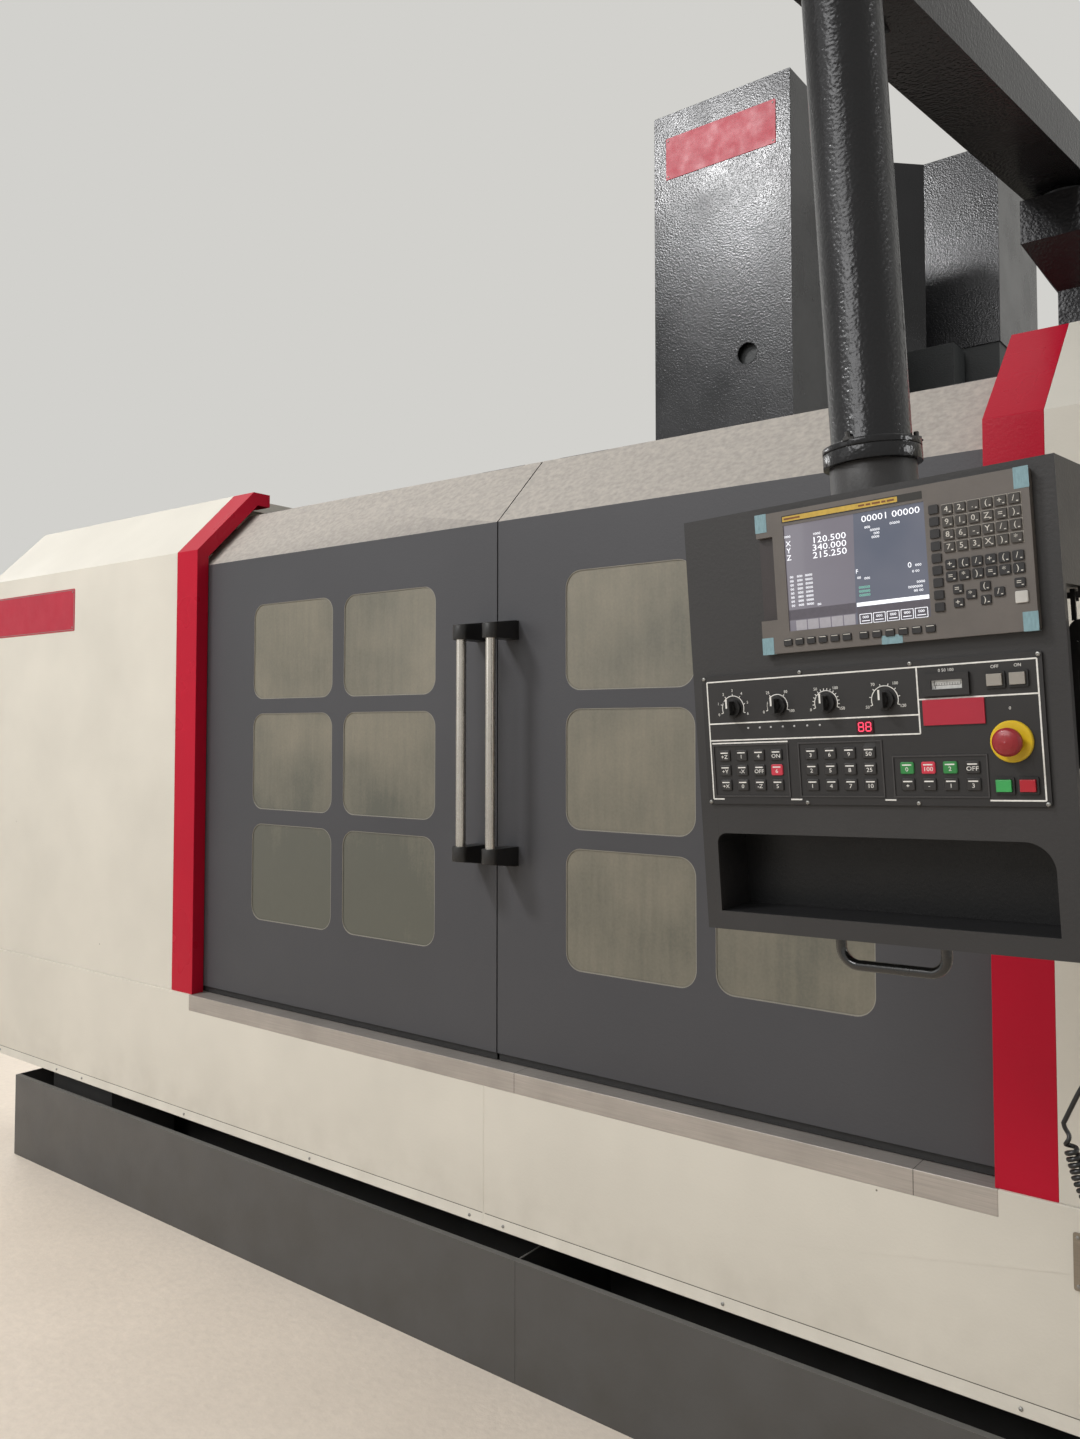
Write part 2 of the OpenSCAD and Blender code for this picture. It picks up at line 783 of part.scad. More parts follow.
// T-slot table with a coolant gutter round its edge and the X screw's nut lug below
module table() {
    neck = 24;
    head_w = slot_w * 1.7;
    head_h = 16;
    y0 = spindle_y - table_d / 2;
    y1 = spindle_y + table_d / 2;
    color(steel) difference() {
        union() {
            span([-table_w / 2, y0, table_foot + 50], [table_w / 2, y1, table_z]);
            for (y = [spindle_y - x_way_y, spindle_y + x_way_y])
                span([-table_w / 2, y - x_way_w / 2 - 40, table_foot],
                    [table_w / 2, y + x_way_w / 2 + 40, table_foot + 50]);
            span([-nut_l / 2, spindle_y - nut_r - 10, x_screw_z - nut_r],
                [nut_l / 2, spindle_y + nut_r + 10, table_foot + 50]);
        }
        for (i = [0 : slot_count - 1])
            translate([0, spindle_y + (i - (slot_count - 1) / 2) * slot_pitch, table_z])
                along_x(-table_w / 2 - eps, table_w / 2 + eps) {
                    translate([-slot_w / 2, -neck - eps]) square([slot_w, neck + 2 * eps]);
                    translate([-head_w / 2, -neck - head_h]) square([head_w, head_h]);
                }
        translate([-nut_l, spindle_y, x_screw_z]) rotate([0, 90, 0])
            cylinder(d = screw_d + 2 * run_gap, h = 2 * nut_l);
    }
}

// Ball screw along +Z: threaded middle between two journals
module ball_screw(len, tail0, tail1) {
    translate([0, 0, -tail0]) cylinder(d = journal_d, h = len + tail0 + tail1);
    cylinder(d = screw_d, h = len);
}

module x_screw() {
    len = saddle_w - 2 * screw_wall - 2 * screw_float;
    color(steel) translate([-len / 2, spindle_y, x_screw_z]) rotate([0, 90, 0])
        ball_screw(len, 0.75 * screw_wall, screw_wall + screw_float - slide_gap);
}

module y_screw() {
    len = enclosure_d - 60 - bed_y - 90 - 2;
    color(steel) translate([0, bed_y + 91, y_screw_z]) rotate([-90, 0, 0])
        ball_screw(len, 91 - slide_gap, 50);
}

module z_screw() {
    color(steel) translate([0, z_screw_y, z_way_z + 51])
        ball_screw(casting_top - 100 - z_way_z - 52, 40, 101 - slide_gap);
}

module x_motor() {
    color(black) translate([saddle_w / 2, spindle_y, x_screw_z]) rotate([90, 0, 90])
        servo(servo_x_w, servo_l);
}

module y_motor() {
    color(black) translate([0, bed_y, y_screw_z]) rotate([90, 0, 0]) servo(servo_w, servo_l);
}

module z_motor() {
    color(black) translate([0, z_screw_y, casting_top]) servo(servo_w, servo_z_l);
}

// Portal casting with two box ways, the Z screw's channel and core windows
module column() {
    x = column_w / 2 - 6;
    back = column_y + column_d - 6;
    channel = 260;
    color(iron) difference() {
        union() {
            along_y(casting_y, back) polygon([[-x, way_z], [-x, casting_top], [x, casting_top],
                [x, way_z]]);
            both_sides() span([z_way_x - z_way_w / 2, casting_y - z_way_h, z_way_z],
                [z_way_x + z_way_w / 2, casting_y, cover_z - 10]);
        }
        span([-channel / 2, casting_y - eps, z_way_z + 50],
            [channel / 2, casting_y + 144, casting_top - 100]);
        translate([0, z_screw_y, z_way_z + 10])
            cylinder(d = journal_d + 2 * run_gap, h = casting_top - z_way_z);
        for (z = [way_z + 500 : 620 : casting_top - 500]) {
            translate([-x - eps, (casting_y + 144 + back) / 2, z]) rotate([0, 90, 0])
                cylinder(d = 260, h = 2 * x + 2 * eps);
            translate([0, back - 200, z]) rotate([-90, 0, 0]) cylinder(d = 360, h = 201);
        }
    }
}

// Plan of the column's cover, d inside its sheet: a middle part stands forward on slanted sides
module cover_plan(d) {
    x = column_w / 2 - d;
    k = bump_x - d * tan(22.5);
    front = column_y + d;
    back = column_y + column_d - d;
    polygon([[-x, front], [-k - bump_d, front], [-k, front - bump_d], [k, front - bump_d],
        [k + bump_d, front], [x, front], [x, back], [-x, back]]);
}

// Sheet cover round the column's top, with louvres in its back and two lugs on the casting
module column_cover() {
    x = column_w / 2;
    back = column_y + column_d;
    color(dark) {
        difference() {
            translate([0, 0, cover_z]) linear_extrude(column_z - cover_z) cover_plan(0);
            translate([0, 0, cover_z - eps]) linear_extrude(column_z - cover_z - sheet_t + eps)
                cover_plan(sheet_t);
            for (i = [0 : 7])
                span([-250, back - sheet_t - eps, column_z - 300 + i * 28],
                    [250, back + eps, column_z - 290 + i * 28]);
        }
        both_sides() span([x - 60, column_y + sheet_t - eps, casting_top],
            [x - sheet_t + eps, column_y + 60, casting_top + 6]);
    }
}

// Cantilever head casting with its carriage, gib cheeks, nose boss and nut lug
module spindle_head() {
    top = carriage_z + carriage_h;
    cheek = z_way_x + z_way_w / 2 + slide_gap;
    lug_z = carriage_z + 450;
    color(iron) difference() {
        union() {
            along_x(-head_w / 2, head_w / 2) polygon([[head_y, nose_z + 130],
                [head_y, top - 120], [head_y + 120, top], [carriage_y - carriage_t, top],
                [carriage_y - carriage_t, carriage_z], [carriage_y - carriage_t - 60, carriage_z],
                [spindle_y + 240, nose_z + 130]]);
            span([-cheek - 40, carriage_y - carriage_t, carriage_z],
                [cheek + 40, carriage_y, top]);
            both_sides() span([cheek, carriage_y, carriage_z],
                [cheek + 40, casting_y - 16, top]);
            span([-80, carriage_y, lug_z], [80, z_screw_y + 65, lug_z + nut_l]);
            translate([0, spindle_y, nose_z + 20]) cylinder(d1 = 230, d2 = 290, h = 111, $fn = 64);
        }
        translate([0, spindle_y, nose_z - eps])
            cylinder(d = spindle_d + 2 * run_gap, h = top - nose_z - 99);
        translate([0, spindle_y, top - 102]) cylinder(d = 90, h = 104);
        translate([0, z_screw_y, lug_z - eps])
            cylinder(d = screw_d + 2 * run_gap, h = nut_l + 2 * eps);
    }
}

// Sheet hood over the head and its motor, open below and behind
module head_cover() {
    x = head_cover_w / 2;
    foot = nose_z + 150;
    back = head_cover_y + head_cover_d;
    hole_x = 103;
    hole_z = 2935;
    top = carriage_z + carriage_h;
    color(dark) difference() {
        span([-x, head_cover_y, foot], [x, back, head_cover_z]);
        span([-x + sheet_t, head_cover_y + sheet_t, foot - eps],
            [x - sheet_t, back - sheet_t, head_cover_z - sheet_t]);
        span([-x + sheet_t, back - sheet_t - eps, foot - eps], [x - sheet_t, back + eps, top + 30]);
        translate([hole_x, head_cover_y - eps, hole_z]) rotate([-90, 0, 0])
            cylinder(d = 78, h = sheet_t + 2 * eps);
    }
    color(dark) both_sides() for (z = [nose_z + 300, top - 200])
        span([head_w / 2, head_cover_y + 200, z], [x - sheet_t, head_cover_y + 260, z + 60]);
}

// Spindle shaft with its tool taper and two drive keys
module spindle() {
    top = carriage_z + carriage_h;
    color(steel) difference() {
        union() {
            translate([0, spindle_y, nose_z]) cylinder(d = spindle_d, h = top - nose_z - 101);
            translate([0, spindle_y, nose_z - 8]) difference() {
                cylinder(d = spindle_d - 4, h = 9);
                translate([-14, -spindle_d, -eps]) cube([28, 2 * spindle_d, 8]);
            }
        }
        translate([0, spindle_y, nose_z - 9]) cylinder(d1 = 69.85, d2 = 40, h = 102, $fn = 64);
        translate([0, spindle_y, nose_z]) cylinder(d = 26, h = 300);
    }
}

module spindle_motor() {
    top = carriage_z + carriage_h;
    w = spindle_motor_w;
    plate = 0.08 * w;
    color(black) {
        translate([-w / 2, spindle_y - w / 2, top]) cube([w, w, plate]);
        translate([0, spindle_y, top + plate]) cylinder(d = 0.93 * w, h = spindle_motor_h);
        for (a = [0 : 30 : 330])
            translate([0, spindle_y, top + plate]) rotate([0, 0, a])
                translate([0.46 * w, -0.02 * w, 0])
                    cube([0.032 * w, 0.04 * w, spindle_motor_h - 10]);
        translate([0, spindle_y, top + plate + spindle_motor_h])
            cylinder(d = 0.73 * w, h = fan_h);
        translate([-0.2 * w, spindle_y + 0.43 * w, top + w]) cube([0.4 * w, 0.3 * w, 0.4 * w]);
    }
}

// Cast arm from the column's front that carries the magazine's axle and the changer's drive
module magazine_frame() {
    color(iron) difference() {
        along_x(frame_x - frame_w, frame_x) polygon([[casting_y, arm_z - arm_t],
            [casting_y, magazine_z + frame_lug + 60],
            [spindle_y + 0.39 * frame_reach, magazine_z + frame_lug + 20],
            [spindle_y - frame_lug, magazine_z + frame_lug],
            [spindle_y - frame_lug, arm_z + frame_w],
            [spindle_y + 0.12 * frame_reach, arm_z + frame_w],
            [spindle_y + 0.55 * frame_reach, arm_z + frame_w - 50]]);
        translate([frame_x - frame_w - eps, spindle_y, magazine_z]) rotate([0, 90, 0])
            cylinder(d = 80 + 2 * run_gap, h = 61);
        for (share = [0.3, 0.57, 0.81])
            translate([frame_x - frame_w - eps, spindle_y + share * frame_reach, magazine_z - 150])
                rotate([0, 90, 0]) cylinder(d = frame_core_d, h = frame_w + 2 * eps);
    }
}

// Tool disc with its axle and a ring of open tool pots
module magazine_disc() {
    face = frame_x - frame_w - 4;
    pot_r = magazine_r - 44;
    color(black) translate([face, spindle_y, magazine_z]) rotate([0, -90, 0]) difference() {
        union() {
            difference() {
                cylinder(r = magazine_r, h = 30, $fn = 96);
                for (i = [0 : 5]) rotate([0, 0, i * 60]) translate([170, 0, -eps])
                    cylinder(d = 110, h = 32);
            }
            translate([0, 0, -60]) cylinder(d = 80, h = 62);
            cylinder(d = 150, h = 60);
            for (i = [0 : pot_count - 1]) rotate([0, 0, i * 360 / pot_count])
                translate([pot_r, 0, 0]) cylinder(d = 74, h = pot_l);
        }
        for (i = [0 : pot_count - 1]) rotate([0, 0, i * 360 / pot_count])
            translate([pot_r, 0, 30]) cylinder(d = 52, h = pot_l - 29);
    }
}

// Double-ended exchange arm with gripper notches, parked along Y
module change_arm() {
    color(steel) translate([-arm_r, spindle_y, arm_z]) {
        difference() {
            union() {
                linear_extrude(arm_t) {
                    circle(d = arm_head_d);
                    translate([-38, -arm_r + 20]) square([76, 2 * arm_r - 40]);
                    for (s = [-1, 1]) translate([0, s * arm_r]) circle(d = arm_head_d);
                }
                cylinder(d = 70, h = arm_shaft_l);
            }
            for (s = [0, 180]) rotate([0, 0, s]) translate([0, arm_r, -eps]) {
                cylinder(d = 66, h = arm_t + 2 * eps);
                translate([-100, -22, 0]) cube([100, 44, arm_t + 2 * eps]);
            }
        }
    }
}

module arm_drive() {
    color(iron) difference() {
        union() {
            span([frame_x, spindle_y - 85, arm_z + 110],
                [frame_x + 200, spindle_y + 95, magazine_z + 60]);
            translate([-arm_r, spindle_y, arm_z + 80]) cylinder(d = 130, h = 31);
        }
        translate([-arm_r, spindle_y, arm_z + 79])
            cylinder(d = 70 + 2 * run_gap, h = arm_shaft_l - 78);
    }
}

// Stand on the right wing's roof: bolted foot, neck, tapering shoulder, head block and pivot pin
module arm_bracket() {
    x0 = pivot_x - 66;
    x1 = pivot_x + 90;
    y0 = pivot_y - 110;
    y1 = pivot_y + 150;
    top = beam_z - hub_h;
    low = top - 90;
    neck = low - 82;
    neck_y = pivot_y - 20;
    taper = 50;
    color(dark) {
        span([trim_out + 4, pivot_y - 30, roof_z], [x1 + 60, y1 + 40, roof_z + 12]);
        span([x0 + taper, neck_y, roof_z + 12], [x1, y1, neck]);
        intersection() {
            along_y(y0, y1) polygon([[x0, low], [x1, low], [x1, neck], [x0 + taper, neck]]);
            along_x(x0, x1) polygon([[y0, low], [y1, low], [y1, neck], [neck_y, neck]]);
        }
        span([x0, y0, low], [x1, y1, top]);
        translate([pivot_x, pivot_y, top - eps]) cylinder(d = pivot_d, h = hub_h + 60);
    }
}

// Frame of the leaning post and of the pendant that hangs on it: X right, Y back, Z up,
// from the lower left corner of the pendant box's face
module on_pendant() {
    translate([pivot_x, pivot_y, beam_z]) rotate([0, 0, -beam_turn]) translate([0, -beam_len, 0])
        rotate([0, 0, beam_turn + pendant_turn]) rotate([pendant_lean, 0, 0])
            rotate([0, -pendant_roll, 0]) translate([-box_w / 2, -post_set, -post_len - box_h])
                children();
}

// Box beam, its hub on the pivot pin, and the welded post with its gusset and flange
module pendant_arm() {
    wall = 6;
    front = -beam_len - 75;
    color(dark) difference() {
        union() {
            translate([pivot_x, pivot_y, beam_z]) rotate([0, 0, -beam_turn]) {
                translate([-beam_w / 2, front, 0]) cube([beam_w, 85 - front, beam_h]);
                translate([0, 0, slide_gap - hub_h]) cylinder(d = 2 * pivot_d, h = hub_h);
                along_x(-4, 4) polygon([[40 - beam_len, 1], [152 - beam_len, 1],
                    [50 - beam_len, -70], [40 - beam_len, -70]]);
            }
            difference() {
                on_pendant() translate([box_w / 2, post_set, flange_z]) {
                    translate([0, 0, slide_gap]) cylinder(d = flange_d, h = ring_h);
                    translate([0, 0, ring_h]) cylinder(d = flange_d - 5, h = 3);
                    translate([0, 0, ring_h + 2]) cylinder(d = flange_d, h = 8);
                    translate([0, 0, ring_h]) cylinder(d = post_d, h = post_len);
                }
                translate([pivot_x - 2 * beam_len, pivot_y - 2 * beam_len, beam_z + wall / 2])
                    cube([4 * beam_len, 4 * beam_len, post_len]);
            }
        }
        translate([pivot_x, pivot_y, beam_z]) rotate([0, 0, -beam_turn]) {
            translate([-beam_w / 2 + wall, front + wall, wall])
                cube([beam_w - 2 * wall, 85 - front - 2 * wall - 170, beam_h - 2 * wall]);
            translate([0, 0, -hub_h]) cylinder(d = pivot_d + 2 * run_gap, h = hub_h + 62);
        }
        on_pendant() translate([box_w / 2, post_set, flange_z]) {
            translate([0, 0, ring_h + 10])
                cylinder(d = post_d - 2 * wall, h = post_len + box_h - flange_z + 2 * wall);
            translate([0, 0, -eps]) cylinder(d = swivel_d + 2 * run_gap, h = 40);
        }
    }
}

// Cuts a round corner into the lower left of whatever lies at the origin
module round_corner(r) {
    difference() {
        translate([-eps, -eps]) square(r + eps);
        translate([r, r]) circle(r);
    }
}

// Mouth of the tray, grown by d, with a small and a large round top corner
module tray_mouth(d) {
    top = tray_z + tray_h + d;
    difference() {
        translate([tray_x - d, tray_z - d]) square([tray_w + 2 * d, tray_h + 2 * d]);
        translate([tray_x - d, top]) mirror([0, 1]) round_corner(16 + d);
        translate([tray_x + tray_w + d, top]) rotate(180) round_corner(38 + d);
    }
}

// Folded face with its rim, the deep upper box, the inset lower box, the tray, the swivel collar,
// the bar that the handwheel hangs on and the gland of its cord
module pendant_box() {
    t = box_sheet;
    low_x = box_w - box_inset;
    color(dark) on_pendant() difference() {
        union() {
            difference() {
                union() {
                    span([0, 0, box_step_z], [box_w, box_d, box_h]);
                    span([box_inset, 0, low_z], [low_x, box_low_d, box_step_z + t]);
                }
                span([t, t, box_step_z + t], [box_w - t, box_d - t, box_h - t]);
                span([box_inset + t, t, low_z + t],
                    [low_x - t, box_low_d - t, box_step_z + t + eps]);
            }
            difference() {
                span([0, 0, 0], [box_w, box_rim, box_step_z + t]);
                span([t, t, t], [box_w - t, box_rim + eps, box_step_z + t + eps]);
            }
            along_y(t - eps, tray_d + t) tray_mouth(t);
            translate([box_w / 2, post_set, box_h - eps])
                cylinder(d = 126, h = flange_z - box_h + eps);
            translate([box_w / 2, post_set, flange_z - eps]) cylinder(d = swivel_d, h = 25);
            span([low_x, hook_y, bar_z], [box_w + 42, hook_y + hook_t, bar_z + bar_h]);
            for (x = [low_x, box_w - 8])
                span([x, hook_y, bar_z], [x + 8, hook_y + hook_t, box_step_z + eps]);
            translate([low_x - eps, gland_y, gland_z]) rotate([0, 90, 0]) {
                cylinder(d = 26, h = 13);
                cylinder(d = curl_d, h = 22 + eps - slide_gap);
            }
        }
        along_y(-eps, t + eps) translate([display_x + 12, display_z + 12])
            square([display_w - 24, display_h - 24]);
        along_y(-eps, t + eps) translate([panel_x + 10, panel_z + 10])
            square([panel_w - 20, panel_h - 20]);
        along_y(-eps, tray_d) tray_mouth(0);
        translate([box_w / 2, post_set, box_h - 10]) cylinder(d = 50, h = 80);
    }
}

// Keys and soft keys of the display unit, from its lower left corner
module display_keys() {
    for (i = [0 : 5]) {
        translate([36 + 18.6 * i, 10]) square([13, 10]);
        translate([154.5 + 19 * i, 10]) square([13, 10]);
        for (j = [0 : 3]) translate([282 + 17.3 * i, 113.5 + 16.8 * j]) square([14, 13]);
        for (j = [0, 1]) translate([282 + 17.3 * i, 74.5 + 16.2 * j]) square([14, 13]);
    }
    for (j = [0 : 8]) translate([264.2, 36.2 + 16.4 * j]) square([13, 12]);
    for (spot = CURSOR_KEYS) translate(spot) square([13, 12]);
    translate([368.6, 36.5]) square([15.6, 15]);
}

// Display unit: bezel plate with its screen recess, card recess and raised keys, and its case
module display_unit() {
    color([0.38, 0.36, 0.35]) on_pendant() translate([display_x, 0, display_z]) {
        difference() {
            union() {
                along_y(-display_out, 0) rounded(display_w, display_h, 4);
                along_y(-eps, 60) translate([15, 15]) square([display_w - 30, display_h - 30]);
            }
            along_y(-display_out - eps, -display_out + screen_set + 6)
                translate([screen_x, screen_z]) square([screen_w, screen_h]);
            along_y(-display_out - eps, -display_out + 9) translate([-eps, 50]) square([28, 124]);
        }
        along_y(-display_out - key_out, -display_out) display_keys();
    }
}

module display_screen() {
    color([0.35, 0.38, 0.48]) on_pendant() translate([display_x, 0, display_z])
        along_y(-display_out + screen_set, -display_out + screen_set + 6)
            translate([screen_x, screen_z]) square([screen_w, screen_h]);
}

function key_col(x0, i) = x0 + i * key_pitch_x;
function key_row(j) = 224 + j * key_pitch_z;

// Operator panel: plate, raised keys, meter frame, stop collar and the bushes behind the knobs
module operator_panel() {
    case_x = box_inset + box_sheet + eps;
    color(black) on_pendant() difference() {
        union() {
            along_y(-panel_t, 0) translate([panel_x, panel_z]) rounded(panel_w, panel_h, 3);
            along_y(-eps, 34) translate([case_x, panel_z + 12])
                square([panel_x + panel_w - 12 - case_x, panel_h - 24]);
            along_y(-panel_t - key_out, -panel_t) {
                for (b = [0 : 2], i = [0 : 3], j = [0 : b == 2 ? 1 : 2])
                    translate([key_col(KEY_BLOCK_X[b], i) - key_w / 2, key_row(j) - key_h / 2])
                        square([key_w, key_h]);
                translate([370, 304]) square([82, 34]);
                translate([272, 296]) square([25, 19]);
            }
            along_y(-panel_t - 5, -panel_t) difference() {
                translate([372, 343]) square([63, 30]);
                translate([384, 352]) square([42, 12]);
            }
            translate([stop_x, -panel_t, stop_z]) rotate([90, 0, 0]) cylinder(d = 54, h = 3);
        }
        for (x = KNOB_X) translate([x, -panel_t - eps, knob_z]) rotate([-90, 0, 0])
            cylinder(d = bush_d + 2 * run_gap, h = 30);
        translate([stop_x, -panel_t - 4, stop_z]) rotate([-90, 0, 0])
            cylinder(d = 22 + 2 * run_gap, h = 34);
        for (x = CYCLE_X) along_y(-panel_t - eps, 26) translate([x - cycle_w / 2, cycle_z - 8])
            square([cycle_w, 16]);
        for (x = POWER_X) along_y(-panel_t - eps, 26) translate([x - 10, meter_z - 8])
            square([20, 16]);
    }
}

// Rotary knob: skirt, waisted grip bar and a shaft in the panel's bush
module knob(i) {
    grip_h = 14;
    color(black) on_pendant() translate([KNOB_X[i], -panel_t - slide_gap, knob_z])
        rotate([90, 0, 0]) {
            cylinder(d = knob_d, h = 5);
            intersection() {
                cylinder(d = knob_d - 5, h = 5 + grip_h);
                translate([-5, -knob_d / 2, 0]) cube([10, knob_d, 5 + grip_h]);
            }
            cylinder(d = 15, h = 11);
            translate([0, 0, -24]) cylinder(d = bush_d, h = 25);
        }
}

module knob_mode() {
    knob(0);
}

module knob_rapid() {
    knob(1);
}

module knob_feed() {
    knob(2);
}

module knob_spindle() {
    knob(3);
}

// Mushroom head on its stem
module stop_button() {
    color(red) on_pendant() translate([stop_x, -panel_t - 3, stop_z]) rotate([90, 0, 0]) {
        translate([0, 0, -20]) cylinder(d = 22, h = 32);
        translate([0, 0, 10]) rotate_extrude() polygon([[0, 0], [stop_d / 2 - 2, 0],
            [stop_d / 2, 3], [stop_d / 2, 9], [stop_d / 2 - 3, 13], [stop_d / 2 - 9, 15.5],
            [0, 17]]);
    }
}

// Square push button in its bezel hole
module push_button(x, z, w, h) {
    g = 0.15;
    on_pendant() {
        along_y(-panel_t - 6, 20 - press) translate([x - w / 2 + g, z - h / 2 + g])
            square([w - 2 * g, h - 2 * g]);
    }
}

module start_button() {
    color([0.1, 0.6, 0.25]) push_button(CYCLE_X[0], cycle_z, cycle_w, 16);
}

module hold_button() {
    color(red) push_button(CYCLE_X[1], cycle_z, cycle_w, 16);
}

module power_off_button() {
    color([0.75, 0.75, 0.7]) push_button(POWER_X[0], meter_z, 20, 16);
}

module power_on_button() {
    color([0.75, 0.75, 0.7]) push_button(POWER_X[1], meter_z, 20, 16);
}

// Bent tube under the pendant's box
module grab_handle() {
    r = 26;
    drop = 46;
    y = 48;
    color(black) on_pendant() translate([box_w / 2, y, 0]) {
        for (s = [0, 1]) mirror([s, 0, 0]) {
            translate([grab_w / 2, 0, -drop + r]) cylinder(d = grab_d, h = drop - r + low_z);
            translate([grab_w / 2 - r, 0, -drop + r]) rotate([90, 0, 0])
                rotate([0, 0, -90]) rotate_extrude(angle = 90) translate([r, 0])
                    circle(d = grab_d);
            translate([-eps, 0, -drop]) rotate([0, 90, 0])
                cylinder(d = grab_d, h = grab_w / 2 - r + eps);
        }
    }
}

// Stainless plate with an empty round socket that passes through the apron
module service_socket() {
    color(steel) difference() {
        union() {
            along_y(-3, 0) translate([socket_x - socket_w / 2, socket_z - socket_h / 2])
                rounded(socket_w, socket_h, 4);
            translate([socket_x, 0, socket_z]) rotate([90, 0, 0]) {
                translate([0, 0, -30]) cylinder(d = socket_d + 12, h = 30);
                cylinder(d = socket_d + 8, h = 12);
            }
        }
        translate([socket_x, 0, socket_z]) rotate([90, 0, 0]) translate([0, 0, -20])
            cylinder(d = socket_d, h = 40);
    }
}

// Handheld case with two selector knobs, two hooks over the pendant's bar and the cord's relief
module handwheel_case() {
    over = 4;
    bar_top = bar_z + bar_h + slide_gap;
    color(black) on_pendant() {
        difference() {
            along_y(wheel_y, wheel_y + wheel_t) translate([wheel_x, wheel_z])
                rounded(wheel_w, wheel_h, 14);
            translate([wheel_cx, wheel_y - eps, wheel_z + 52]) rotate([-90, 0, 0])
                cylinder(d = 12 + 2 * run_gap, h = 22);
            along_y(wheel_y - eps, wheel_y + 1) translate([wheel_x + 8, wheel_z + 112])
                square([wheel_w - 16, 26]);
        }
        for (x = [wheel_x + 3, wheel_x + 52]) {
            span([x, hook_y - slide_gap - over, wheel_top - eps],
                [x + 6, hook_y - slide_gap, bar_top + over]);
            span([x, hook_y - slide_gap - over, bar_top],
                [x + 6, hook_y + hook_t + slide_gap + over, bar_top + over]);
            span([x, hook_y + hook_t + slide_gap, bar_z - 4],
                [x + 6, hook_y + hook_t + slide_gap + over, bar_top + over]);
        }
        for (x = [wheel_x + 24, wheel_x + 64]) translate([x, wheel_y, wheel_z + 168])
            rotate([90, 0, 0]) cylinder(d = 24, h = 12);
        translate([wheel_cx, wheel_y + wheel_t / 2, wheel_z - 11.7])
            cylinder(d1 = 10, d2 = 18, h = 11.7 + eps, $fn = 32);
    }
}

module handwheel_dial() {
    color([0.2, 0.2, 0.22]) on_pendant()
        translate([wheel_cx, wheel_y - slide_gap, wheel_z + 52]) rotate([90, 0, 0]) difference() {
            union() {
                cylinder(d = dial_d, h = 6);
                translate([0, 0, 6]) cylinder(d1 = dial_d - 6, d2 = dial_d - 12, h = 10, $fn = 64);
                translate([0, 0, -18]) cylinder(d = 12, h = 19);
            }
            translate([0, 17, 15]) sphere(d = 16, $fn = 32);
        }
}

// Smooth curve through a route's points
function curve_point(p, i, t) = let (a = p[max(i - 1, 0)], b = p[i], c = p[i + 1],
    d = p[min(i + 2, len(p) - 1)]) 0.5 * (2 * b + (c - a) * t
    + (2 * a - 5 * b + 4 * c - d) * t * t + (3 * b - a - 3 * c + d) * t * t * t);
function curve(p, steps) = [for (i = [0 : len(p) - 2], s = [0 : steps - 1])
    curve_point(p, i, s / steps), p[len(p) - 1]];
function unit(v) = v / norm(v);

// Tube of one diameter along a route that stays near a plane of constant Y
module tube(route, d, steps) {
    pts = curve(route, steps);
    n = len(pts);
    sides = 12;
    ring = [for (i = [0 : n - 1]) let (t = unit(pts[min(i + 1, n - 1)] - pts[max(i - 1, 0)]),
        u = unit(cross(t, [0, 1, 0])), v = cross(u, t))
        for (k = [0 : sides - 1]) pts[i] + d / 2 * (cos(k * 360 / sides) * u
            + sin(k * 360 / sides) * v)];
    side_faces = [for (i = [0 : n - 2], k = [0 : sides - 1]) let (m = (k + 1) % sides)
        [i * sides + k, i * sides + m, (i + 1) * sides + m, (i + 1) * sides + k]];
    first = [for (k = [sides - 1 : -1 : 0]) k];
    last = [for (k = [0 : sides - 1]) (n - 1) * sides + k];
    polyhedron(ring, concat(side_faces, [first, last]), convexity = 10);
}

module cord_lead() {
    color(black) on_pendant() tube(LEAD_ROUTE, cord_d, 2);
}

module cord_curl() {
    color(black) on_pendant() tube(CURL_ROUTE, curl_d, 2);
}

bed();
levelling_feet();
saddle();
table();
column();
column_cover();
spindle_head();
head_cover();
spindle();
spindle_motor();
x_screw();
y_screw();
z_screw();
x_motor();
y_motor();
z_motor();
magazine_frame();
magazine_disc();
change_arm();
arm_drive();
coolant_tank_left();
coolant_tank_right();
housing_left();
housing_right();
red_trims();
apron_left();
apron_right();
door_sill();
top_rail();
rear_wall();
electrical_cabinet();
door_left();
door_right();
panes_left();
panes_right();
handle_tube_left();
handle_tube_right();
handle_caps_left();
handle_caps_right();
arm_bracket();
pendant_arm();
pendant_box();
display_unit();
display_screen();
operator_panel();
knob_mode();
knob_rapid();
knob_feed();
knob_spindle();
stop_button();
start_button();
hold_button();
power_off_button();
power_on_button();
grab_handle();
service_socket();
handwheel_case();
handwheel_dial();
cord_lead();
cord_curl();
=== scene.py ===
"""Vertical machining center: finishes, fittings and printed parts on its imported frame.

Sizes are millimetres in each place's own frame, and the places turn them to metres.
"""
import math
from contextlib import contextmanager

import bmesh
import bpy
from bpy.props import FloatProperty, FloatVectorProperty, PointerProperty
from mathutils import Matrix, Vector


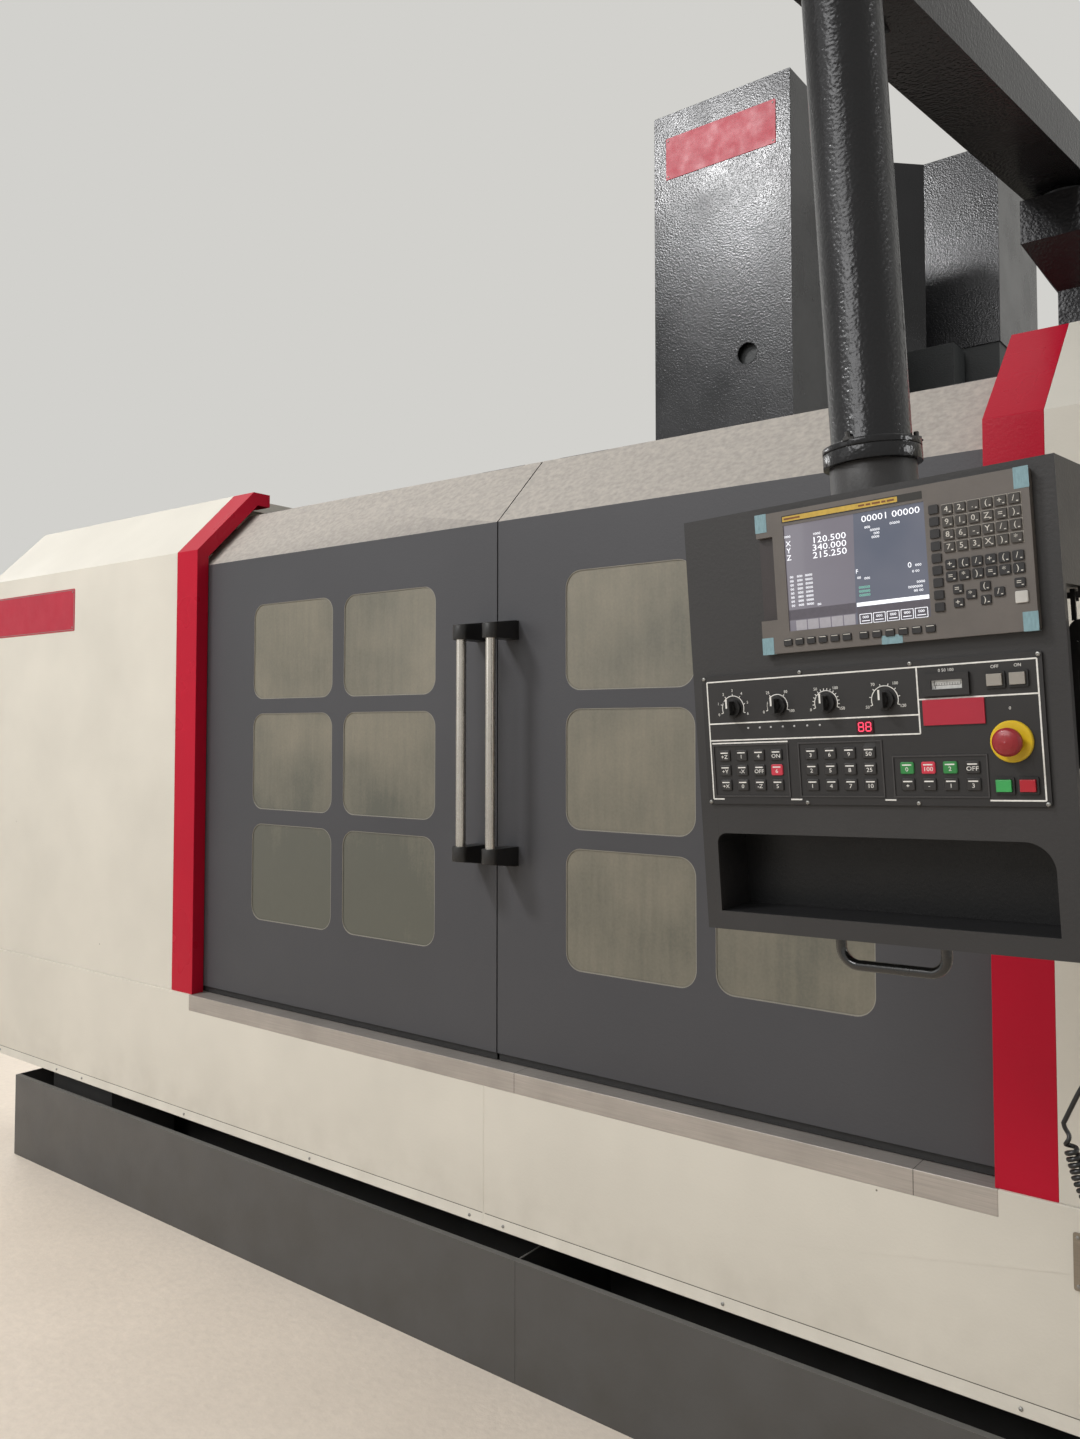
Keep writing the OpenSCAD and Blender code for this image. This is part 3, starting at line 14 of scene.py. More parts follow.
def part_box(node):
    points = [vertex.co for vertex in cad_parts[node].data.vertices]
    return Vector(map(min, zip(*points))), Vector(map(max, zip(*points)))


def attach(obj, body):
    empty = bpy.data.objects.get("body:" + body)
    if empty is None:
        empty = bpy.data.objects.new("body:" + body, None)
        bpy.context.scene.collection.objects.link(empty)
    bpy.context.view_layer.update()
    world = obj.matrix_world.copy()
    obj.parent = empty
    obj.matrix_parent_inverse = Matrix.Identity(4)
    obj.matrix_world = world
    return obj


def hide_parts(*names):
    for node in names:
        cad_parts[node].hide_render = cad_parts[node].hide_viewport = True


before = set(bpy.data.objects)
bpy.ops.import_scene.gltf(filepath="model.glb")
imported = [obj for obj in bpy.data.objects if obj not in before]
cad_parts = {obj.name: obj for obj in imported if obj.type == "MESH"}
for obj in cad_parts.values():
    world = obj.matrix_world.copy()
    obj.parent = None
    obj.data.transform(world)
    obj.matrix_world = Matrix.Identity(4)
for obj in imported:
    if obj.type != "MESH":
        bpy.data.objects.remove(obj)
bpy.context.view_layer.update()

bl_info = {
    "name": "Machining center",
    "version": (1, 0, 0),
    "blender": (4, 5, 0),
    "location": "View3D > Sidebar > Machine",
    "description": "Finishes, fittings and printed parts of a vertical machining center",
    "category": "Object",
}


def linear(code):
    """Turns an sRGB hex colour to the linear values that the shaders use."""
    parts = [int(code[i:i + 2], 16) / 255 for i in (0, 2, 4)]
    return tuple(c / 12.92 if c <= 0.04045 else ((c + 0.055) / 1.055) ** 2.4 for c in parts)


def colour(name, description, code):
    """A colour that a user can change."""
    return FloatVectorProperty(name=name, description=description, default=linear(code),
                               subtype="COLOR", size=3, min=0.0, max=1.0)


def length(name, description, default):
    """A length in metres that a user can change."""
    return FloatProperty(name=name, description=description, default=default, unit="LENGTH",
                         min=0.0)


class EnclosureSettings(bpy.types.PropertyGroup):
    white: colour("Housing", "Powder coat of the wings, aprons and back", "D9D4C8")
    red: colour("Trim", "Enamel of the two folded trims", "B8102D")
    plate: colour("Plates", "Enamel of the bare plates", "AE1F36")
    grey: colour("Doors", "Enamel of the doors", "4A4A4D")
    # The doors' slanted tops: a dusty film, and also a painted sheen of the light falling on
    # them
    dust: colour("Dust", "Dust on the doors' slanted tops", "B4ADA4")
    pane: colour("Panes", "Film on the panes where it is lightest", "857F70")
    # Its darkest tone shows in the film's clouds and in the painted shade over the lower left
    # panes
    pane_dark: colour("Panes, dark", "Film on the panes where it is darkest", "5B5B52")
    tank: colour("Tanks", "Paint of the coolant tanks", "535251")
    edge: length("Edge break", "Rounding of the folded sheet's edges", 0.0012)


class MachineSettings(bpy.types.PropertyGroup):
    charcoal: colour("Hoods and arm", "Hammered enamel of head, column and arm", "232325")
    casting: colour("Castings", "Enamel of the cast parts", "232627")
    steel: colour("Bare steel", "Ground ways, table and screws", "B9B6AF")


class PendantSettings(bpy.types.PropertyGroup):
    box: colour("Box", "Textured enamel of the pendant's box", "3A3939")
    unit: colour("Display unit", "Moulding round the display and its keys", "655F5A")
    panel: colour("Operator panel", "Printed foil of the operator panel", "1E1C1C")
    band: colour("Band", "Band above the display", "CDAA46")
    tape: colour("Tape", "Transport tape on the display unit", "84A5AD")


class CordSettings(bpy.types.PropertyGroup):
    cord_d: length("Cord diameter", "Diameter of the handwheel's cord", 0.006)
    curl_d: length("Curl diameter", "Outer diameter of the cord's curl", 0.020)
    pitch_low: length("Pitch, low", "From turn to turn where the curl hangs lowest", 0.0068)
    pitch_high: length("Pitch, high", "From turn to turn where its weight opens it", 0.013)


class StageSettings(bpy.types.PropertyGroup):
    floor: colour("Floor", "Plain floor", "EADDCD")
    backdrop: colour("Backdrop", "Plain backdrop", "D2D1CD")
    lens: FloatProperty(name="Lens", description="Focal length of the camera in millimetres",
                        default=27.66, min=1.0)


def turned(degrees, axis):
    return Matrix.Rotation(math.radians(degrees), 4, axis)


# Places: each turns its own millimetres to the row frame's metres. PENDANT starts at the lower
# left front corner of the pendant's box, DISPLAY at the same corner of its display unit.

PIVOT = (1356, 290, 2720)
BEAM_LEN, BEAM_TURN = 931, 7.2
POST_LEN, POST_SET = 776, 92
BOX_W, BOX_H = 558, 640
PENDANT_TURN, PENDANT_LEAN, PENDANT_ROLL = -3.9, 2.8, 2.0

ROW = Matrix.Scale(0.001, 4)
BEAM = ROW @ Matrix.Translation(PIVOT) @ turned(-BEAM_TURN, "Z")
PENDANT = (BEAM @ Matrix.Translation((0, -BEAM_LEN, 0)) @ turned(BEAM_TURN + PENDANT_TURN, "Z")
           @ turned(PENDANT_LEAN, "X") @ turned(-PENDANT_ROLL, "Y")
           @ Matrix.Translation((-BOX_W / 2, -POST_SET, -POST_LEN - BOX_H)))
DISPLAY = PENDANT @ Matrix.Translation((135, 0, 419))
FORWARD, UP = (0, -1, 0), (0, 0, 1)

# Mesh making: every helper adds closed solids to a mesh that collects one piece


def bridge(bm, rings, closed=False):
    """Joins rings of points with faces; a ring of one point is a tip."""
    pairs = list(zip(rings, rings[1:]))
    if closed:
        pairs.append((rings[-1], rings[0]))
    for a, b in pairs:
        n = max(len(a), len(b))
        for k in range(n):
            corners = [a[k % len(a)], a[(k + 1) % len(a)], b[(k + 1) % len(b)], b[k % len(b)]]
            face = list(dict.fromkeys(corners))
            if len(face) > 2:
                bm.faces.new(face)


def front_plate(bm, place, points, front, back, edge=0.0):
    """Plate in a front plane: its outline's (x, z) points, front and back as y values, and edge
    the break round its front face."""
    xs, zs = zip(*points)
    cx, cz = (min(xs) + max(xs)) / 2, (min(zs) + max(zs)) / 2
    hx, hz = (max(xs) - min(xs)) / 2, (max(zs) - min(zs)) / 2
    levels = [(back, 0.0), (front + edge, 0.0)] + ([(front, edge)] if edge else [])
    rings = [[bm.verts.new(place @ Vector((cx + (x - cx) * (1 - inset / hx), y,
                                           cz + (z - cz) * (1 - inset / hz))))
              for x, z in points] for y, inset in levels]
    bridge(bm, rings)
    bm.faces.new(rings[0])
    bm.faces.new(rings[-1])


def outline(rect, r, steps):
    """Outline of a rectangle (x, z, width, height) with corners of radius r."""
    x, z, w, h = rect
    if not r:
        return [(x, z), (x + w, z), (x + w, z + h), (x, z + h)]
    points = []
    for cx, cz, start in [(x + w - r, z + h - r, 0), (x + r, z + h - r, 90),
                          (x + r, z + r, 180), (x + w - r, z + r, 270)]:
        points += arc_points((cx, cz), r, start, start + 90, steps)
    return points


def grown(rect, by):
    """A rectangle made larger on all four sides."""
    x, z, w, h = rect
    return x - by, z - by, w + 2 * by, h + 2 * by


def slab(bm, place, rect, r, front, back, edge=0.0, steps=4):
    """Rectangular plate with rounded corners."""
    front_plate(bm, place, outline(rect, r, steps), front, back, edge)


def rim(bm, place, rect, width, radii, front, back, steps=4):
    """Rectangular frame of one width; radii are its outer and inner corners."""
    outer, inner = outline(rect, radii[0], steps), outline(grown(rect, -width), radii[1], steps)
    rings = [[bm.verts.new(place @ Vector((x, y, z))) for x, z in points]
             for points, y in [(outer, back), (outer, front), (inner, front), (inner, back)]]
    bridge(bm, rings, closed=True)


def bar(bm, place, start, end, width, front, back):
    """Straight bar of one width between two (x, z) points of a front plane."""
    a, b = Vector(start), Vector(end)
    side = (b - a).normalized().orthogonal() * width / 2
    front_plate(bm, place, [a + side, a - side, b - side, b + side], front, back)


def strokes(bm, place, width, front, back, lines):
    """Bars for a list of lines (x0, z0, x1, z1)."""
    for x0, z0, x1, z1 in lines:
        bar(bm, place, (x0, z0), (x1, z1), width, front, back)


def ring_point(radius, k, sides, height=0.0):
    """Point k of a ring of points about the Z axis."""
    angle = 2 * math.pi * k / sides
    return Vector((radius * math.cos(angle), radius * math.sin(angle), height))


def lathe(bm, place, centre, axis, profile, sides, closed=False):
    """Turns (radius, height) points about an axis through a centre."""
    turn = Vector((0, 0, 1)).rotation_difference(Vector(axis)).to_matrix().to_4x4()
    local = place @ Matrix.Translation(centre) @ turn
    rings = [[bm.verts.new(local @ ring_point(radius, k, sides, height))
              for k in range(sides if radius > 1e-6 else 1)] for radius, height in profile]
    bridge(bm, rings, closed)


def pan_screw(bm, place, centre, axis, d):
    """Domed screw head with a round recess."""
    r = d / 2
    lathe(bm, place, centre, axis, [
        (0, -0.3), (r, -0.3), (r, 0.16 * d), (0.8 * r, 0.3 * d), (0.4 * r, 0.36 * d),
        (0.28 * r, 0.2 * d), (0, 0.16 * d)], 16)


def screw_grid(bm, place, xs, y, zs, d):
    """Screws facing forward at every crossing of columns and rows."""
    for x in xs:
        for z in zs:
            pan_screw(bm, place, (x, y, z), FORWARD, d)


def hex_bolt(bm, place, centre, axis, d):
    """Washer and hexagon head."""
    lathe(bm, place, centre, axis, [(0, -0.3), (1.05 * d, -0.3), (1.05 * d, 0.12 * d),
                                    (0, 0.12 * d)], 24)
    lathe(bm, place, centre, axis, [(0, 0.1 * d), (0.87 * d, 0.1 * d), (0.87 * d, 0.6 * d),
                                    (0.72 * d, 0.72 * d), (0, 0.72 * d)], 6)


def sweep(bm, place, points, radius, sides):
    """Round bar along a closed route of points."""
    points = [Vector(p) for p in points]
    rings, side = [], None
    for i, p in enumerate(points):
        ahead = (points[(i + 1) % len(points)] - points[i - 1]).normalized()
        side = ahead.orthogonal() if side is None else side - ahead * side.dot(ahead)
        side.normalize()
        up = ahead.cross(side)
        turn = (ring_point(radius, k, sides) for k in range(sides))
        rings.append([bm.verts.new(place @ (p + q.x * side + q.y * up)) for q in turn])
    bridge(bm, rings, closed=True)


def arc_points(centre, radius, start, end, steps):
    """Points on an arc of a front plane; degrees count from the right, anticlockwise."""
    angles = [math.radians(start + (end - start) * i / steps) for i in range(steps + 1)]
    return [(centre[0] + radius * math.cos(a), centre[1] + radius * math.sin(a))
            for a in angles]


def arc_band(bm, place, centre, radius, width, start, end, front, back):
    """Printed arc of one width, in 20 straight steps."""
    outer = arc_points(centre, radius + width / 2, start, end, 20)
    inner = arc_points(centre, radius - width / 2, start, end, 20)
    for i in range(20):
        front_plate(bm, place, [outer[i], outer[i + 1], inner[i + 1], inner[i]], front, back)


def tick(bm, place, centre, low, high, degrees, width, front, back):
    """Radial line of a dial between two radii."""
    ends = [arc_points(centre, radius, degrees, degrees, 1)[0] for radius in (low, high)]
    bar(bm, place, *ends, width, front, back)


def figures(bm, place, text, x, z, front, height, stretch=1.0):
    """Generic figures as raised print, centred on a point of a front plane."""
    shape = bpy.data.curves.new("figures", "FONT")
    shape.body = text
    shape.size = height / 0.7            # a capital's height is 0.7 of the font's size
    shape.align_x, shape.align_y = "CENTER", "CENTER"
    shape.extrude = 0.1
    shape.resolution_u = 2
    holder = bpy.data.objects.new("figures", shape)
    mesh = bpy.data.meshes.new_from_object(holder)
    mesh.transform(place @ Matrix.Translation((x, front, z)) @ turned(90, "X")
                   @ Matrix.Diagonal((stretch, 1, 1, 1)))
    bm.from_mesh(mesh)
    bpy.data.meshes.remove(mesh)
    bpy.data.objects.remove(holder)
    bpy.data.curves.remove(shape)


def mesh_object(name, bm, material):
    """Links the collected solids as one object with a material."""
    bmesh.ops.recalc_face_normals(bm, faces=bm.faces)
    mesh = bpy.data.meshes.new(name)
    bm.to_mesh(mesh)
    bm.free()
    mesh.materials.append(stock(material))
    made = bpy.data.objects.new(name, mesh)
    bpy.context.scene.collection.objects.link(made)
    return made


@contextmanager
def piece(name, material, body="pendant", slot=None):
    """Collects solids, and when they are done makes them one piece that rides on a body."""
    bm = bmesh.new()
    yield bm
    bmesh.ops.remove_doubles(bm, verts=bm.verts, dist=1e-7)
    made = mesh_object(name, bm, material)
    made.data.shade_smooth()
    made.data.set_sharp_from_angle(angle=math.radians(35))
    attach(made, body)


def dress(material, names, edge=0.0):
    """Gives CAD nodes a material, and rounds their edges by a modifier."""
    for name in names.split():
        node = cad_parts[name]
        node.material_slots[0].material = stock(material)
        if edge:
            node.modifiers.new("weld", "WELD").merge_threshold = 1e-6
            bevel = node.modifiers.new("edges", "BEVEL")
            bevel.width, bevel.segments = edge, 2
            bevel.limit_method, bevel.angle_limit = "ANGLE", math.radians(30)
            bevel.use_clamp_overlap = True


# Materials: the makers give each one its pattern, and STOCK lists what is made by each

def add_node(tree, kind, inputs=None, **settings):
    """Adds one node with its settings, and sets or links its inputs."""
    made = tree.nodes.new("ShaderNode" + kind)
    for key, value in settings.items():
        setattr(made, key, value)
    for key, value in (inputs or {}).items():
        if isinstance(value, bpy.types.NodeSocket):
            tree.links.new(value, made.inputs[key])
        else:
            made.inputs[key].default_value = value
    return made


def cloud(tree, where, size_mm, low=0.0, high=1.0, detail=3.0, stretch=(1, 1, 1)):
    """Soft pattern whose patches are about size_mm across, scaled to run from low to high; it
    is drawn out along the axes whose stretch is small."""
    spread = add_node(tree, "Mapping", {"Vector": where, "Scale": stretch}).outputs[0]
    soft = add_node(tree, "TexNoise", {"Vector": spread, "Scale": 1000 / size_mm,
                                       "Detail": detail, "Roughness": 0.55}).outputs[0]
    return add_node(tree, "MapRange", {"Value": soft, "From Min": 0.3, "From Max": 0.7,
                                       "To Min": low, "To Max": high}).outputs[0]


def darker(base, share):
    """A colour with its lightness scaled, as a socket takes it."""
    return (*(c * share for c in base[:3]), 1)


def start_material(name, base, values=None):
    """Material with one shader; returns it, its tree and its coordinates in metres."""
    material = bpy.data.materials.new(name)
    material.use_nodes = True
    material.diffuse_color = (*base, 1)
    shader = material.node_tree.nodes["Principled BSDF"]
    for key, value in {"Base Color": (*base, 1), **(values or {})}.items():
        shader.inputs[key].default_value = value
    return material, material.node_tree, add_node(material.node_tree, "TexCoord").outputs


def finish(material, skin=None, height=None, depth_mm=0.0, **others):
    """Links a material's patterns to its shader: colour, relief of depth_mm, and others by the
    first word of their inputs."""
    tree = material.node_tree
    shader = tree.nodes["Principled BSDF"]
    if skin:
        tree.links.new(skin, shader.inputs["Base Color"])
    if height:
        bump = add_node(tree, "Bump", {"Height": height, "Distance": depth_mm / 1000,
                                       "Strength": 1.0})
        tree.links.new(bump.outputs[0], shader.inputs["Normal"])
    for key, pattern in others.items():
        tree.links.new(pattern, shader.inputs[key.capitalize()])
    return material


def painted_sheet(name, base, patch_mm, peel_mm, roughness, values=None, dust=None,
                  scuffs=None):
    """Powder coat on folded sheet steel: slightly uneven shade, orange peel, and where given
    a lighter coat on what faces up, partly a dusty film and partly a painted sheen of the light
    that falls on those faces, and scuffs near the floor. The real peel is about 1.5 mm wide and
    is drawn coarser, so that it shows."""
    material, tree, place = start_material(name, base, values)
    metres = place["Object"]
    skin = add_node(tree, "Mix", {0: cloud(tree, metres, patch_mm), 6: (*base, 1),
                                  7: darker(base, 0.90)}, data_type="RGBA").outputs[2]
    rough = cloud(tree, metres, patch_mm * 0.6)
    rough = add_node(tree, "MapRange", {"Value": rough, "To Min": roughness - 0.06,
                                        "To Max": roughness + 0.08}).outputs[0]
    if scuffs:
        skin = scuffed(tree, metres, skin, scuffs)
    # Lighter on what faces up: a dusty film, and also a painted sheen of the light on those
    # faces
    if dust:
        up = add_node(tree, "SeparateXYZ", {0: place["Normal"]}).outputs[2]
        facing = add_node(tree, "MapRange", {"Value": up, "From Min": 0.35, "From Max": 0.62})
        film = add_node(tree, "Math", {0: facing.outputs[0],
                                       1: cloud(tree, metres, 14, 0.66, 1.0, 8.0)},
                        operation="MULTIPLY").outputs[0]
        skin = add_node(tree, "Mix", {0: film, 6: skin, 7: (*dust, 1)},
                        data_type="RGBA").outputs[2]
        rough = add_node(tree, "Mix", {0: film, 2: rough, 3: 0.75}).outputs[0]
    return finish(material, skin, cloud(tree, metres, peel_mm, detail=2.0), 0.12,
                  roughness=rough)


def scuffed(tree, metres, skin, scuffs):
    """Dark specks in about a quarter of 150 mm cells, and grime up to 0.55 m from the floor."""
    cells = add_node(tree, "TexVoronoi", {"Vector": metres, "Scale": 1000 / 150}).outputs
    dot = add_node(tree, "MapRange", {"Value": cells["Distance"], "From Min": 0.018,
                                      "From Max": 0.010}).outputs[0]
    chance = add_node(tree, "SeparateColor", {0: cells["Color"]}).outputs[0]
    some = add_node(tree, "Math", {0: chance, 1: 0.72}, operation="GREATER_THAN").outputs[0]
    specks = add_node(tree, "Math", {0: dot, 1: some}, operation="MULTIPLY").outputs[0]
    skin = add_node(tree, "Mix", {0: specks, 6: skin, 7: (*scuffs, 1)},
                    data_type="RGBA").outputs[2]
    height = add_node(tree, "SeparateXYZ", {0: metres}).outputs[2]
    low = add_node(tree, "MapRange", {"Value": height, "From Min": 0.55, "From Max": 0.0,
                                      "To Max": 0.5}).outputs[0]
    grime = add_node(tree, "Math", {0: low, 1: cloud(tree, metres, 120, -0.3, 1.0, 6.0)},
                     operation="MULTIPLY", use_clamp=True).outputs[0]
    return add_node(tree, "Mix", {0: grime, 6: skin, 7: darker(scuffs, 1.6)},
                    data_type="RGBA").outputs[2]


def hammered_enamel(name, base, grain_mm):
    """Hammered enamel, sprayed: a lattice of small dimples that break every highlight into
    grains. The real dimples are about 2 mm wide and are drawn coarser, so that they show."""
    material, tree, place = start_material(name, base, {"Metallic": 0.2,
                                                        "Specular IOR Level": 0.35})
    metres = place["Object"]
    cells = add_node(tree, "TexVoronoi", {"Vector": metres, "Scale": 1000 / grain_mm},
                     feature="SMOOTH_F1")
    height = add_node(tree, "Math", {0: cells.outputs["Distance"],
                                     1: cloud(tree, metres, grain_mm * 1.7, 0, 0.4, 2.0)},
                      operation="ADD").outputs[0]
    skin = add_node(tree, "Mix", {0: cloud(tree, metres, 260, detail=5.0), 6: (*base, 1),
                                  7: darker(base, 0.80)}, data_type="RGBA").outputs[2]
    return finish(material, skin, height, 0.50, roughness=cloud(tree, metres, 180, 0.19, 0.30))


def cast_enamel(name, base, bare, ways_z):
    """Thick enamel over rough cast iron; the level ways above ways_z, in metres, are ground
    bare."""
    material, tree, place = start_material(name, base)
    metres = place["Object"]
    up = add_node(tree, "SeparateXYZ", {0: place["Normal"]}).outputs[2]
    height = add_node(tree, "SeparateXYZ", {0: metres}).outputs[2]
    level = add_node(tree, "Math", {0: up, 1: 0.95}, operation="GREATER_THAN").outputs[0]
    above = add_node(tree, "Math", {0: height, 1: ways_z}, operation="GREATER_THAN").outputs[0]
    ground = add_node(tree, "Math", {0: level, 1: above}, operation="MULTIPLY").outputs[0]
    skin = add_node(tree, "Mix", {0: cloud(tree, metres, 90, detail=5.0), 6: (*base, 1),
                                  7: darker(base, 0.8)}, data_type="RGBA").outputs[2]
    skin = add_node(tree, "Mix", {0: ground, 6: skin, 7: (*bare, 1)},
                    data_type="RGBA").outputs[2]
    rough = add_node(tree, "Mix", {0: ground, 2: 0.55, 3: 0.25}).outputs[0]
    return finish(material, skin, cloud(tree, metres, 8, detail=4.0), 0.5, metallic=ground,
                  roughness=rough)


def worked_steel(name, base, roughness, line_mm, stretch, values=None, joints=()):
    """Brushed or ground steel: fine lines that run the way stretch is smallest, drawn about
    three times coarser than the real ones so that they show; joints are X places in metres of
    butt joints in a strip, drawn as dark lines 1.4 mm wide."""
    material, tree, place = start_material(name, base, {"Metallic": 1.0, **(values or {})})
    metres = place["Object"]
    lines = cloud(tree, metres, line_mm, stretch=stretch, detail=4.0)
    skin = add_node(tree, "Mix", {0: lines, 6: (*base, 1), 7: darker(base, 0.80)},
                    data_type="RGBA").outputs[2]
    skin = add_node(tree, "Mix", {0: cloud(tree, metres, 160, detail=6.0), 6: skin,
                                  7: darker(base, 0.72)}, data_type="RGBA").outputs[2]
    x = add_node(tree, "SeparateXYZ", {0: metres}).outputs[0]
    for joint in joints:
        butt = add_node(tree, "Math", {0: x, 1: joint, 2: 0.0007}, operation="COMPARE")
        skin = add_node(tree, "Mix", {0: butt.outputs[0], 6: skin, 7: darker(base, 0.12)},
                        data_type="RGBA").outputs[2]
    rough = add_node(tree, "MapRange", {"Value": lines, "To Min": roughness - 0.05,
                                        "To Max": roughness + 0.10}).outputs[0]
    return finish(material, skin, lines, 0.02, roughness=rough)


def moulded_plastic(name, base, roughness, grain_mm=1.6, depth_mm=0.05, glow=0.0):
    """Injection-moulded plastic with a fine spark-eroded grain, which a lamp inside lets
    glow."""
    material, tree, place = start_material(name, base, {"Emission Color": (*base, 1),
                                                        "Emission Strength": glow})
    metres = place["Object"]
    skin = add_node(tree, "Mix", {0: cloud(tree, metres, 40, detail=4.0), 6: (*base, 1),
                                  7: darker(base, 0.85)}, data_type="RGBA").outputs[2]
    return finish(material, skin, cloud(tree, metres, grain_mm, detail=2.0), depth_mm,
                  roughness=cloud(tree, metres, 25, roughness - 0.04, roughness + 0.08))


def clear_print(name, base, glow=0.0):
    """Screen-printed ink, a thin matt film; with glow it is a lit mark."""
    material, tree, place = start_material(name, base, {
        "Roughness": 0.55, "Emission Color": (*base, 1), "Emission Strength": glow})
    skin = add_node(tree, "Mix", {0: cloud(tree, place["Object"], 6), 6: (*base, 1),
                                  7: darker(base, 0.8)}, data_type="RGBA").outputs[2]
    return finish(material, skin)


def filmed_pane(name, light, dark):
    """Polycarbonate behind a hazy protective film: clouded, with wipe marks that run down, and
    darker toward the lower left, which is painted shade."""
    material, tree, place = start_material(
        name, light, {"Specular IOR Level": 0.35, "Coat Weight": 0.2, "Coat Roughness": 0.12})
    metres = place["Object"]
    x, _, z = add_node(tree, "SeparateXYZ", {0: metres}).outputs
    # Painted shade: darker below 1.55 m and toward the left, from x = 0.2 m to -0.5 m
    low = add_node(tree, "MapRange", {"Value": z, "From Min": 1.55, "From Max": 1.15}).outputs[0]
    left = add_node(tree, "MapRange", {"Value": x, "From Min": 0.2, "From Max": -0.5,
                                       "To Min": 0.12}).outputs[0]
    total = add_node(tree, "Math", {0: low, 1: left}, operation="MULTIPLY").outputs[0]
    streaks = cloud(tree, metres, 16, -0.05, 0.16, 5.0, (1.0, 1.0, 0.09))
    for part in (cloud(tree, metres, 210, 0.0, 0.52, 5.0), streaks,
                 cloud(tree, metres, 7, 0.0, 0.16, 2.0)):
        total = add_node(tree, "Math", {0: total, 1: part}, operation="ADD",
                         use_clamp=True).outputs[0]
    skin = add_node(tree, "Mix", {0: total, 6: (*light, 1), 7: (*dark, 1)},
                    data_type="RGBA").outputs[2]
    return finish(material, skin, streaks, 0.05,
                  roughness=cloud(tree, metres, 60, 0.28, 0.55, 5.0))


def lit_display(name, base, left, right, bloom, split_x):
    """Liquid-crystal display under glass: one colour left of split_x, another right of it, and
    paler bloom across the middle."""
    material, tree, place = start_material(
        name, base, {"Roughness": 0.18, "Coat Weight": 0.5, "Emission Strength": 0.74})
    x = add_node(tree, "SeparateXYZ", {0: place["Object"]}).outputs[0]
    side = add_node(tree, "Math", {0: x, 1: split_x}, operation="GREATER_THAN").outputs[0]
    glow = add_node(tree, "Mix", {0: side, 6: (*left, 1), 7: (*right, 1)},
                    data_type="RGBA").outputs[2]
    glow = add_node(tree, "Mix", {0: cloud(tree, place["Object"], 120, 0.0, 0.35, 2.0), 6: glow,
                                  7: (*bloom, 1)}, data_type="RGBA").outputs[2]
    tree.links.new(glow, tree.nodes["Principled BSDF"].inputs["Emission Color"])
    return material


def tacky_tape(name, base):
    """Thin crepe tape, wrinkled along its width."""
    material, tree, place = start_material(name, base, {"Roughness": 0.45})
    wrinkles = cloud(tree, place["Object"], 3.0, detail=4.0, stretch=(1, 1, 0.3))
    skin = add_node(tree, "Mix", {0: wrinkles, 6: (*base, 1), 7: darker(base, 0.78)},
                    data_type="RGBA").outputs[2]
    return finish(material, skin, wrinkles, 0.2)


def seen_rays(tree):
    """1 for the rays that show the surroundings: from the camera, off gloss, through glass."""
    path = add_node(tree, "LightPath").outputs
    seen = path["Is Camera Ray"]
    for name in ("Is Glossy Ray", "Is Transmission Ray"):
        seen = add_node(tree, "Math", {0: seen, 1: path[name]}, operation="MAXIMUM").outputs[0]
    return seen


def cast_floor(name, base, beyond):
    """Worn concrete: clouds about half a metre wide over a fine sandy grain. Between 5 and
    11.5 m from the machine it is seen to fade to the colour beyond."""
    material, tree, place = start_material(name, base, {"Roughness": 0.8})
    metres = place["Object"]
    skin = add_node(tree, "Mix", {0: cloud(tree, metres, 700, detail=8.0), 6: (*base, 1),
                                  7: darker(base, 0.86)}, data_type="RGBA").outputs[2]
    skin = add_node(tree, "Mix", {0: cloud(tree, metres, 25, 0.0, 0.35, 8.0), 6: skin,
                                  7: darker(base, 0.72)}, data_type="RGBA").outputs[2]
    away = add_node(tree, "VectorMath", {0: metres}, operation="LENGTH").outputs["Value"]
    far = add_node(tree, "MapRange", {"Value": away, "From Min": 5.0, "From Max": 11.5},
                   interpolation_type="SMOOTHSTEP").outputs[0]
    fade = add_node(tree, "Math", {0: far, 1: seen_rays(tree)}, operation="MULTIPLY").outputs[0]
    haze = add_node(tree, "Emission", {"Color": (*beyond, 1)}).outputs[0]
    shader = tree.nodes["Principled BSDF"].outputs[0]
    mix = add_node(tree, "MixShader", {0: fade, 1: shader, 2: haze}).outputs[0]
    tree.links.new(mix, tree.nodes["Material Output"].inputs["Surface"])
    return finish(material, skin, cloud(tree, metres, 20, detail=6.0), 0.6)


EVEN = (1, 1, 1)         # stretch of a pattern that runs no way
DULL = {"values": {"Specular IOR Level": 0.3}}
